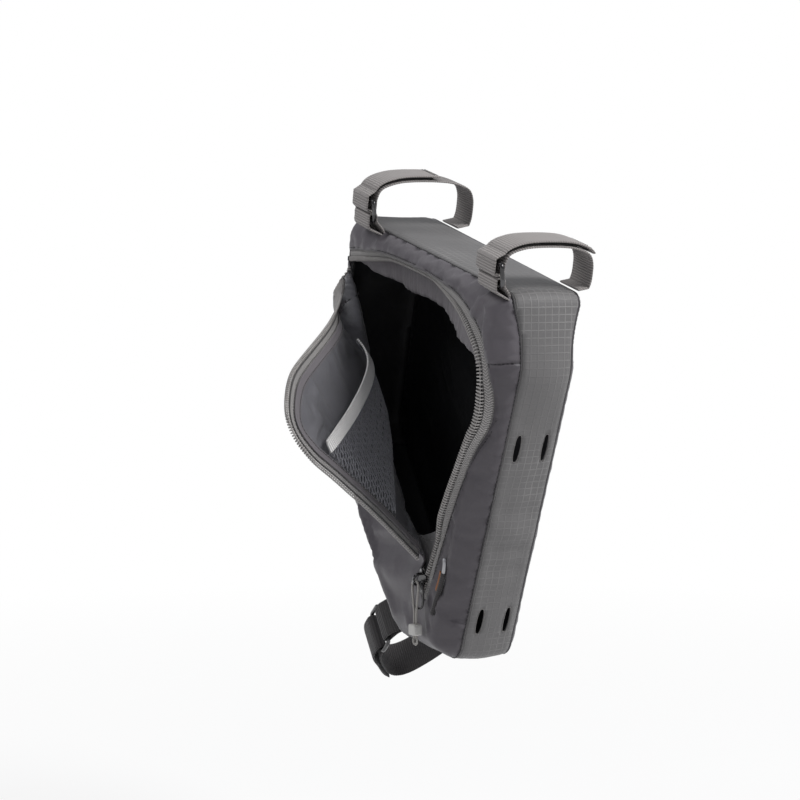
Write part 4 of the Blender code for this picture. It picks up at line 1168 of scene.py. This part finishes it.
def build_slider():
    half = SLIDER_LEN / 2
    flank = [(-half, 2.9), (-half + 1.2, 3.9), (-0.5, 4.1), (2.4, 5.2), (half - 0.6, 5.25),
             (half, 4.4), (half - 0.7, 1.6)]
    shield = [(u, -v) for u, v in flank] + [(half - 1.4, 0.0)] + flank[::-1]
    lower = [(u, v * 0.88) for u, v in shield]
    post = [(2.6, -0.6), (5.2, -0.8), (5.2, 0.8), (2.6, 0.6)]
    axes = (ZIP_RUN, SLIDER_ACROSS, OUTWARD)
    plates = prism("slider", [(outline, SLIDER_AT, axes, levels) for outline, levels in (
        (shield, (SLIDER_TOP, CROWN)), (lower, (SLIDER_UNDER - SLIDER_PLATE, SLIDER_UNDER)),
        (post, (SLIDER_UNDER - 0.2, SLIDER_TOP + 0.2)))], "dark_metal", 0.35)
    dress(plates, "slider", "dark_metal", "slider_body")
    high = BRIDGE_HOLE + BRIDGE_T / 2
    leg = [(4.4, -0.6), (4.5, 1.6), (4.0, high - 1.5), (2.6, high - 0.2)]
    line = smooth_curve([(-u, v) for u, v in leg] + [(0.0, high + 0.1)] + leg[::-1], 0.5)
    spots = SLIDER_AT + np.outer(line[:, 0], ZIP_RUN) + np.outer(CROWN + line[:, 1], OUTWARD)
    bridge = make("slider_loop", *flat_bar(spots, SLIDER_ACROSS, 0.95, 0.6), "dark_metal")
    dress(bridge, "slider", "dark_metal", "slider_bridge")


def flat_bar(line, across, half_width, half_thick):
    """Bar of a rounded flat section along a line, its width held in one direction."""
    run = runs(line)
    normal = np.cross(run, across)
    a = np.arange(12) * 2 * math.pi / 12
    shape = np.stack([swell(np.cos(a), 0.55) * half_width,
                      swell(np.sin(a), 0.55) * half_thick], 1)
    ring = (across[None, None] * shape[None, :, :1] + normal[:, None] * shape[None, :, 1:])
    points = (line[:, None] + ring).reshape(-1, 3)
    faces = grid_faces(len(line), 12, wrap=True)
    faces += [tuple(reversed(range(12))), tuple((len(line) - 1) * 12 + j for j in range(12))]
    return points, faces


def loop_outline(width, height, radius, parts):
    """Rectangle about the origin with rounded corners of so many points."""
    rows = []
    for cx, cy, a0 in ((1, 1, 0), (-1, 1, 90), (-1, -1, 180), (1, -1, 270)):
        for a in np.radians(a0 + np.linspace(0, 90, parts)):
            rows.append((cx * (width / 2 - radius) + radius * math.cos(a),
                         cy * (height / 2 - radius) + radius * math.sin(a)))
    return np.array(rows)


def build_pull():
    """Wire puller, and the cord that loops round its foot and ends in a bead."""
    wide = LEAN.T @ np.array([math.cos(PULL_YAW), math.sin(PULL_YAW), 0.0])
    top = SLIDER_AT + ZIP_RUN * PULL_AT[0] + OUTWARD * (CROWN + PULL_AT[1])
    face = unit(np.cross(wide, DOWN))
    face = -face if face[1] > 0 else face

    def hung(plane, origin):
        return origin + np.outer(plane[:, 0], wide) + np.outer(plane[:, 1], DOWN)
    wire = hung(loop_outline(*PULL_SIZE, 5.2, 9), top + DOWN * (PULL_SIZE[1] / 2))
    dress(tubes("puller", [wire], "ring_metal", PULL_WIRE, 10, closed=True),
          "puller", "dark_metal", "puller_ring")

    reach = PULL_WIRE + CORD_R + 0.25
    mid, foot = CORD_DROP + BEAD[2] / 2, CORD_DROP + BEAD[2]
    half = [(1.7, -0.7), (2.8, 0.1), (3.4, 1.4), (3.4, 5.0), (2.9, 8.8), (1.8, 15.8),
            (STRAND, 21.0), (STRAND, CORD_DROP), (STRAND, mid), (STRAND, foot + 0.8),
            (2.2, foot + 3.2), (1.8, foot + 5.2)]
    route = [(-STRAND, mid + 0.4)] + [(-u, v) for u, v in half[9:]] + [(0.0, foot + 6.3)]
    route += half[::-1] + [(0.0, -0.95)]
    route += [(-u, v) for u, v in half[:8]] + [(-STRAND, mid - 0.4)]
    spots = world(hung(smooth_curve(route, 1.6), top) + face * reach)
    curve = bpy.data.curves.new("cord_loop", "CURVE")
    curve.dimensions, curve.use_fill_caps = "3D", True
    curve.bevel_depth, curve.bevel_resolution = CORD_R * MM, 3
    spline = curve.splines.new("POLY")
    spline.points.add(len(spots) - 1)
    spline.points.foreach_set("co", np.hstack([spots, np.ones((len(spots), 1))]).ravel())
    spline.use_smooth = True
    curve.materials.append(LOOKS["pull_cord"])
    cord = link("cord_loop", curve)
    dress(cord, "pull", "pull_cord", "pull_cord")

    spot = top + face * reach + DOWN * mid
    square = loop_outline(BEAD[0], BEAD[2], 1.1, 5)
    bead = prism("bead", [(square, spot, (wide, DOWN, face), (-BEAD[1] / 2, BEAD[1] / 2))],
                 "cord_bead", 0.8, 4)
    dress(bead, "pull", "cord_bead", "cord_bead")


# ---------------------------------------------------------------- inside the opening

FACING_END_Z = -48.0
BAND_LINE = [(-55, -65.5), (-48.5, -75.5), (-32.5, -82.3), (-6, -85), (28, -85), (60, -83.5),
             (77, -83.5)]
MESH_SEWN = [(77, -83.5), (69, -106), (60, -127), (51, -147), (46, -153), (18, -139),
             (-8, -127), (-28, -114), (-40, -99), (-51, -82), (-55, -65.5)]
WEB_EDGE = [(7, -186), (20, -182), (30, -177), (42, -171), (53, -165.5), (69, -163.5), (64, -184),
            (61, -191), (50, -197), (34, -206), (20, -203), (7, -196)]


def mesh_lift(p):
    """How far the pocket's net stands off the flap."""
    return 5.0 * (1 - np.exp(-line_distance(p, MESH_SEWN) / 8.0))


def gathers(length, across):
    """Ruffles of a gathered edge, deeper towards the free side."""
    phase = length / 4.2 * 2 * math.pi + 2.2 * np.sin(length / 9.0)
    uneven = 0.55 + 0.45 * np.sin(length / 7.3 + 0.8) * np.sin(length / 17.0)
    return (np.sin(phase) * 0.5 * uneven + np.sin(phase * 0.31 + 1.0) * 0.4) * across ** 1.2


def net_strands():
    """Two families of strands that cross in long diamonds over the pocket."""
    poly = np.vstack([BAND_LINE, MESH_SEWN[1:-1]]).astype(float)
    lines = []
    wide, tall = NET_CELL
    lean = math.atan2(wide, tall)
    for sign in (-1, 1):
        turn = NET_TURN + sign * lean
        run = np.array([math.cos(turn), math.sin(turn)])
        side_step = np.array([-run[1], run[0]])
        for k in np.arange(-110, 110, wide * math.cos(lean)):
            t = np.arange(-NET_HALF, NET_HALF, 1.6)
            line = np.array(NET_MIDDLE) + side_step * k + np.outer(t, run)
            keep = inside(line, poly)
            ends = np.flatnonzero(np.diff(keep.astype(int))) + 1
            for piece in np.split(np.arange(len(t)), ends):
                if keep[piece[0]] and len(piece) > 2:
                    flat = line[piece]
                    weft = 0.22 * sign * np.sin(t[piece] / tall * 2 * math.pi + k)
                    lines.append(fold(side(flat, 3.0 + mesh_lift(flat) + weft)))
    return lines


def build_facing():
    """Lining gathered along the upper run of the fixed tape."""
    line = zip_line(1.2)
    upper = line[:int(len(line) * 0.7)]
    line = line[4:int(np.abs(upper[:, 1] - FACING_END_Z).argmin())]
    f = np.linspace(0, 1, len(line))
    hang = np.clip((f - 0.03) / 0.27, 0, 1) ** 0.8 * np.clip((1 - f) / 0.2, 0.12, 1) ** 0.7
    hang = hang * (1 + 0.03 * np.sin(f * 23))
    widths = [6.0, 2.0] + [-width * hang for width in (2.5, 6.0, 9.5, 13.0, 16.5, 18.5)]
    facing = band("gathered_facing", line, widths, (1.9, 2.6, 2.9, 3.1, 3.3, 3.5, 3.8, 4.4),
                  "facing", 0.7, ripple=gathers, roll=True)
    dress(facing, "bag", "lining", "lip_facing")


def build_pocket():
    """Net pocket on the flap's inner side, with its elastic hem and the seam round it."""
    dress(tubes("pocket_net", net_strands(), "pocket_mesh", 0.33),
          "flap", "pocket_mesh", "mesh_pocket")
    edge = smooth_curve(BAND_LINE, 1.5)[1:-1]
    taper = np.clip(0.45 + 0.55 * np.linspace(0, 12, len(edge)), 0, 1)
    rows, weave = [], []
    for k, width in enumerate((4.3, 3.4, 1.3, -1.3, -3.4, -4.3)):
        flat = offset(edge, width * taper)
        if not k:
            length = lengths(flat)
        rows.append(fold(side(flat, 4.0 + mesh_lift(flat) - 0.25 * (abs(width) < 3.5))))
        weave.append(lay(length, 1.3 * k))
    elastic = thicken("pocket_hem", weft(rows), grid_faces(len(edge), 6), "pocket_elastic", 1.1,
                      weft(weave))
    dress(elastic, "flap", "pocket_elastic", "pocket_band")
    seam = smooth_curve(MESH_SEWN[1:-1], 1.0)
    sew("pocket_stitching", fold(side(seam, 2.9)), "flap", "pocket_mesh", "pale_thread",
        2.4, 1.7, 0.25)


def build_web():
    """Inner web across the zip's foot."""
    flat, tris, _ = cut(np.array(WEB_EDGE, float), 2.6)
    near = np.minimum(line_distance(flat, [(20, -203), (7, -196), (7, -177)]),
                      line_distance(flat, [(69, -165), (64, -184), (61, -191)]))
    lift = 3.2 * (1 - np.exp(-near / 3.5))
    wave = 0.5 * np.sin(flat[:, 0] / 4.0 + flat[:, 1] / 7.0)
    root = np.interp(flat[:, 0], (7.0, 35.0, 60.0), (5.5, 3.5, 2.0))
    web = thicken("inner_web", side(flat, root + lift + wave), tris, "web_cloth", 0.9)
    dress(sewn(web, flat, tris), "bag", "lining", "opening_web")
    hem = smooth_curve([(12, -181), (22, -181), (31, -181), (42, -176.5), (52, -170)], 0.6)
    sew("inner_web_stitching", side(hem, 4.4), "bag", "lining", "pale_thread", 2.6, 1.6, 0.3)


def build_garage():
    """Little housing beside the zip's foot: ribbed edge, silver tip and a coloured lining."""
    for name, route, step, widths, depths, look, thick, slot, node in (
            ("garage_edge", [(70.6, -188.6), (70.2, -191.5), (67.5, -200.0), (64.0, -210.0),
                             (60.5, -220.0)], 0.8, (1.6, 1.0, 0.0, -1.0, -1.6),
             (-1.2, -2.1, -2.5, -2.1, -1.2), "black_webbing", 1.5, "zip_tape", "garage_binding"),
            ("garage_tip", [(70.2, -179.0), (71.0, -181.5), (71.1, -185.0), (70.6, -189.4)], 0.6,
             (1.2, 0.8, 0.0, -0.8, -1.2), (-1.0, -1.8, -2.2, -1.8, -1.0), "reflective_tab", 1.0,
             "reflective_tab", "garage_tab"),
            ("garage_lining", [(66.4, -189.2), (65.0, -196.0), (62.4, -203.2)], 0.8,
             (1.2, 0.4, -0.4, -1.2), (-0.9, -1.2, -1.2, -0.9), "orange_label", 0.8,
             "orange_label", "garage_label")):
        piece = band(name, smooth_curve(route, step), widths, depths, look, thick)
        dress(piece, "bag", slot, node)


# ---------------------------------------------------------------- straps

def webbing(name, path, axes, look, body, node, section=(WEB_T, WEBBING, 0.2), slant=None):
    """Webbing along plane points (a, b): cross ribs on both faces and rounded selvedges.

    Its section is a thickness, a width and the depth of its ribs.

    A slant gives the lowest b that the webbing reaches at its two selvedges.
    """
    origin, wide, along_a, along_b = axes
    thick, width, rib = section
    line = resample(path, RIB_PITCH / 6)
    s = lengths(line)
    run = runs(line)
    normal = np.stack([-run[:, 1], run[:, 0]], 1)
    cols = np.array([-0.5, -0.47, -0.4, -0.2, 0.0, 0.2, 0.4, 0.47, 0.5])
    ease = np.array([0.25, 0.8, 1.0, 1.0, 1.0, 1.0, 1.0, 0.8, 0.25])
    bump = 1 - np.abs(np.sin(s * math.pi / RIB_PITCH))
    rings, weave = [], []
    for sign, order in ((1, range(9)), (-1, range(8, -1, -1))):
        for k in order:
            t = sign * (thick / 2 * ease[k] - rib * bump * ease[k])
            q = line + normal * t[:, None]
            if slant is not None:
                q[:, 1] = np.maximum(q[:, 1], np.interp(cols[k], (-0.5, 0.5), slant))
            rings.append(origin + wide * (cols[k] * width) + np.outer(q[:, 0], along_a)
                         + np.outer(q[:, 1], along_b))
            weave.append(lay(s, cols[k] * width))
    count = len(rings)
    faces = grid_faces(len(line), count, wrap=True)
    last = (len(line) - 1) * count
    faces += [tuple(reversed(range(count))), tuple(last + j for j in range(count))]
    dress(make(name, weft(rings), faces, look, weft(weave)), body, look, node)


def tube_section(half, height, away):
    """The carrying tube's outline from the far side over the top to the near side."""
    right = np.array([(0.955, 0.10), (0.99, 0.24), (1.0, 0.44), (0.985, 0.66), (0.89, 0.84),
                      (0.6, 0.955), (0.25, 0.995)]) * (half, height)
    line = smooth_curve(np.vstack([right, right[::-1] * (-1, 1)]), 1.0)
    run = runs(line)
    return line + np.stack([run[:, 1], -run[:, 0]], 1) * away


def arc_points(centre, radius, first, last):
    a = np.radians(np.linspace(first, last, 14))
    return np.array(centre) + radius * np.stack([np.cos(a), np.sin(a)], 1)


def squarish(radius):
    """The close turn of webbing under a bar, flatter at its sides and bottom than an arc."""
    a = np.radians(np.linspace(0, 180, 22))
    return radius * np.stack([swell(np.cos(a), 0.6), -np.sin(a) ** 0.6], 1)


def strap_ring(name, axes, first, second, body, node):
    origin, wide, along_a, along_b = axes
    rise = np.array(second) - first
    mid = (np.array(second) + first) / 2
    tall = unit(along_a * rise[0] + along_b * rise[1])
    loop = loop_outline(WEBBING + 1.4 + RING_WIRE, float(np.linalg.norm(rise)), 3.0, 8)
    centre = origin + along_a * mid[0] + along_b * mid[1]
    wire = resample(closed_line(loop), 0.9)[:-1]
    line = centre + np.outer(wire[:, 0], wide) + np.outer(wire[:, 1], tall)
    ring = tubes(name, [line], "ring_metal", RING_WIRE / 2, 14, closed=True)
    dress(ring, body, "dark_metal", node)


def cross_stitch(name, axes, line, body):
    """Rows of thread across a band, at (a, b) points on its face."""
    origin, wide, along_a, along_b = axes
    w = np.linspace(2.0 - WEBBING / 2, WEBBING / 2 - 2.0, 60)
    rows = []
    for a, b in line:
        row = origin + along_a * a + along_b * b + np.outer(w, wide)
        rows += [row[k:k + 4] for k in range(0, 57, 6)]
    dress(tubes(name, rows, "thread", 0.28), body, "grey_webbing")


def top_strap(label, x, tube, bar_z, tip_y, edge, slant):
    half, height = tube
    axes = (np.array([x, 0.0, 0.0]), *np.eye(3))
    bar = np.array([-(half + 4.2), bar_z])
    foot_bar = np.array([bar[0] + 2.0, bar_z - RING_RISE])
    strap_ring(label + "_ring", axes, foot_bar, bar, label + "_ring", label + "_strap_ring")
    y, z = foot_bar
    tab = smooth_curve([(-edge - 2.6, -4.4), (-edge - 4.4, -3.2), (y - 2.0, 0.6), (y - 2.9, z),
                        (y - 2.8, z + 3.6), (y, z + 4.4), (y + 2.3, z + 3.4), (y + 2.7, z - 0.5),
                        (-edge - 3.4, 0.4), (-edge - 2.0, -2.2)], 0.8)
    webbing(label + "_tab", tab, axes, "grey_webbing", "bag", label + "_strap_tab", slant=slant)

    under = tube_section(half, height, TUBE_GAP + WEB_T / 2)
    under = under[(under[:, 0] > 0) | (under[:, 1] > bar_z + 3.0)]
    rise = unit(under[0] - (edge, 1.0))
    turn = bar - (0.0, 4.2) + squarish(TURN_R)
    strap = np.vstack([[(edge, GAP + rise[0] * WEB_T / 2)], under, bar + (TURN_R, 0.0), turn,
                       bar + (-TURN_R, 0.3)])
    webbing(label + "_band", strap, axes, "grey_webbing", "bag", label + "_strap")

    def lap(away, start=5.0, end=tip_y):
        """Line over the tube at some distance from it, from above the ring's bar to a y."""
        line = tube_section(half, height, away)
        return line[(line[:, 1] > bar_z + start) & (line[:, 0] < end)][::-1]
    root = np.array([bar[0] - TURN_R, bar_z + 0.35])
    tail = np.vstack([root, root + (0, 2.5), lap(TUBE_GAP + 1.5 * WEB_T + PAD_T + 2 * GAP)])
    body = label + "_tail"
    webbing(label + "_band_end", tail, axes, "grey_webbing", body, label + "_strap_tail")
    webbing(label + "_hooks", lap(TUBE_GAP + WEB_T + GAP + PAD_T / 2, 6.0, tip_y - 4.0), axes,
            "hook_pad", body, label + "_hook_pad", (PAD_T, WEBBING - 3.0, 0.05))
    outer = lap(TUBE_GAP + 2 * WEB_T + PAD_T + 2 * GAP)
    cross_stitch(label + "_end_stitching", axes, outer[-4:-1:2], body)


def lower_strap():
    corner, nose = np.array(CORNERS[4][:2]), np.array(CORNERS[5][:2])
    run = unit(nose - corner)
    along = np.array([run[0], 0, run[1]])
    away = np.array([-run[1], 0, run[0]])
    away = -away if away[2] > 0 else away
    origin = np.array([corner[0], 0, corner[1]]) + along * 19.5
    axes = (origin, along, np.eye(3)[1], away)
    bar, low_bar = np.array([-26.6, 16.5]), np.array([-26.9, 30.0])
    strap_ring("lower_ring", axes, bar, low_bar, "lower_ring", "lower_strap_ring")
    tab = np.vstack([smooth_curve([(-12, 1.4), (-18.5, 2.3), (-24.2, 6.0), (-27.9, 10.8)], 1.5),
                     arc_points(bar, 2.6, 200, 45),
                     smooth_curve([(-23.6, 14.5), (-21.6, 9.6), (-17.8, 6.0), (-12, 4.4)], 1.5)])
    webbing("lower_tab", tab, axes, "black_webbing", "bag", "lower_strap_tab")
    loop = smooth_curve([(18, 1.4), (22.3, 4), (25, 10), (26, 20), (26.2, 31), (24.8, 41),
                         (18.6, 53.2), (10.4, 65), (4.6, 69.9), (0, 71), (-4.6, 69.9), (-10.4, 65),
                         (-18.3, 53.2), (-22.6, 44.5), (-23.9, 37.5), (-23.7, 31.5)], 1.5)
    loop = np.vstack([loop, arc_points(low_bar, TURN_R, 0, -180)])
    webbing("lower_band", loop, axes, "black_webbing", "bag", "lower_strap")
    root = np.array([low_bar[0] - TURN_R, low_bar[1] + 0.6])
    tail = smooth_curve([root, root + (0, 3), (-29.6, 39), (-26.4, 47), (-21.1, 54.6),
                         (-12.8, 66.9), (-6.6, 72.7)], 1.0)
    webbing("lower_band_end", tail, axes, "black_webbing", "lower_tail", "lower_strap_tail")


def finish_metal():
    """The two hidden zip stops keep their CAD shape and get the metal look."""
    for node in ("zip_top_stop", "zip_end_stop"):
        obj = frame["nodes"][node]
        obj.data.materials.clear()
        obj.data.materials.append(LOOKS["dark_metal"])


# ---------------------------------------------------------------- camera, light and floor

CAMERA_AT = (1.2489, -0.6168, 0.0195)
CAMERA_YAW, CAMERA_PITCH = math.radians(24.402), math.radians(4.637)
FOCAL_PX, PICTURE_PX, SENSOR = 2171.0, 800.0, 36.0
FLOOR_DROP, FLOOR_HALF = 0.12, 45


def aim(obj, spot, direction):
    obj.location = spot
    obj.rotation_mode = "QUATERNION"
    obj.rotation_quaternion = direction.to_track_quat("-Z", "Y")


def make_camera():
    data = bpy.data.cameras.new("camera")
    data.sensor_width = SENSOR
    data.lens = SENSOR * FOCAL_PX / PICTURE_PX
    data.clip_start, data.clip_end = 0.05, 100.0
    camera = link("camera", data)
    look = Vector((-math.cos(CAMERA_YAW) * math.cos(CAMERA_PITCH),
                   math.sin(CAMERA_YAW) * math.cos(CAMERA_PITCH), -math.sin(CAMERA_PITCH)))
    aim(camera, CAMERA_AT, look)
    bpy.context.scene.camera = camera


def soft_light(name, spot, target, size, watts):
    data = bpy.data.lights.new(name, "AREA")
    data.shape, data.size, data.energy = "DISK", size, watts
    aim(link(name, data), spot, Vector(target) - Vector(spot))


WHITE = (1.0, 1.0, 1.0, 1.0)


def two_sided(tree, factor, lit, seen, kind):
    """Output of one shader in the light and of another where the factor is 1."""
    either = add(tree, "MixShader", {0: factor, 1: lit.outputs[0], 2: seen.outputs[0]})
    add(tree, "Output" + kind, {"Surface": either.outputs[0]})


def make_stage():
    """White surroundings for the camera, a softer fill for the light, and a pale floor."""
    studio = bpy.data.worlds.new("studio")
    bpy.context.scene.world = studio
    studio.use_nodes = True
    tree = studio.node_tree
    tree.nodes.clear()
    fill = add(tree, "Background", {"Color": (0.93, 0.95, 1.0, 1.0), "Strength": 0.34})
    white = add(tree, "Background", {"Color": WHITE, "Strength": 1.0})
    two_sided(tree, add(tree, "LightPath").outputs["Is Camera Ray"], fill, white, "World")

    low = CAD_BOX[0][2] - FLOOR_DROP
    mesh = bpy.data.meshes.new("floor")
    far = FLOOR_HALF
    corners = [(-far, -far, low), (far, -far, low), (far, far, low), (-far, far, low)]
    mesh.from_pydata(corners, [], [(0, 1, 2, 3)])
    link("floor", mesh)
    pale = bpy.data.materials.new("floor_pale")
    pale.use_nodes = True
    tree = pale.node_tree
    tree.nodes.clear()
    rays = add(tree, "LightPath").outputs
    direct = Value(rays["Is Glossy Ray"]).maths("MAXIMUM", rays["Is Transmission Ray"]).maths(
        "MAXIMUM", rays["Is Camera Ray"])
    matt = add(tree, "BsdfDiffuse", {"Color": (0.86, 0.86, 0.86, 1.0)})
    glow = add(tree, "Emission", {"Color": WHITE, "Strength": 1.0})
    away = add(tree, "VectorMath", {0: object_place(tree)}, operation="LENGTH").outputs["Value"]
    share = add(tree, "MapRange", {"Value": away, "From Min": 0.35, "From Max": 1.3,
                                   "To Min": 0.8, "To Max": 1.0}).outputs[0]
    two_sided(tree, direct * share, matt, glow, "Material")
    mesh.materials.append(pale)

    soft_light("key", (1.15, 0.95, 1.35), (0.0, 0.0, -0.12), 0.8, 34.0)
    soft_light("rim", (-0.4, -1.1, 1.4), (0.0, 0.0, -0.05), 1.0, 11.0)
    bpy.context.scene.view_settings.view_transform = "Standard"


def main():
    make_looks()
    make_camera()
    make_stage()
    build_pull()
    build_strips()
    build_sides()
    build_seams()
    build_zip()
    build_slider()
    build_facing()
    build_pocket()
    build_web()
    build_garage()
    top_strap("rear", STRAP_REAR_X, TUBE_REAR, 18.0, 31.0, 22.0, (1.0, -4.4))
    top_strap("front", STRAP_FRONT_X, TUBE_FRONT, 19.5, 10.0, 26.0, (-0.5, -4.4))
    lower_strap()
    finish_metal()


main()
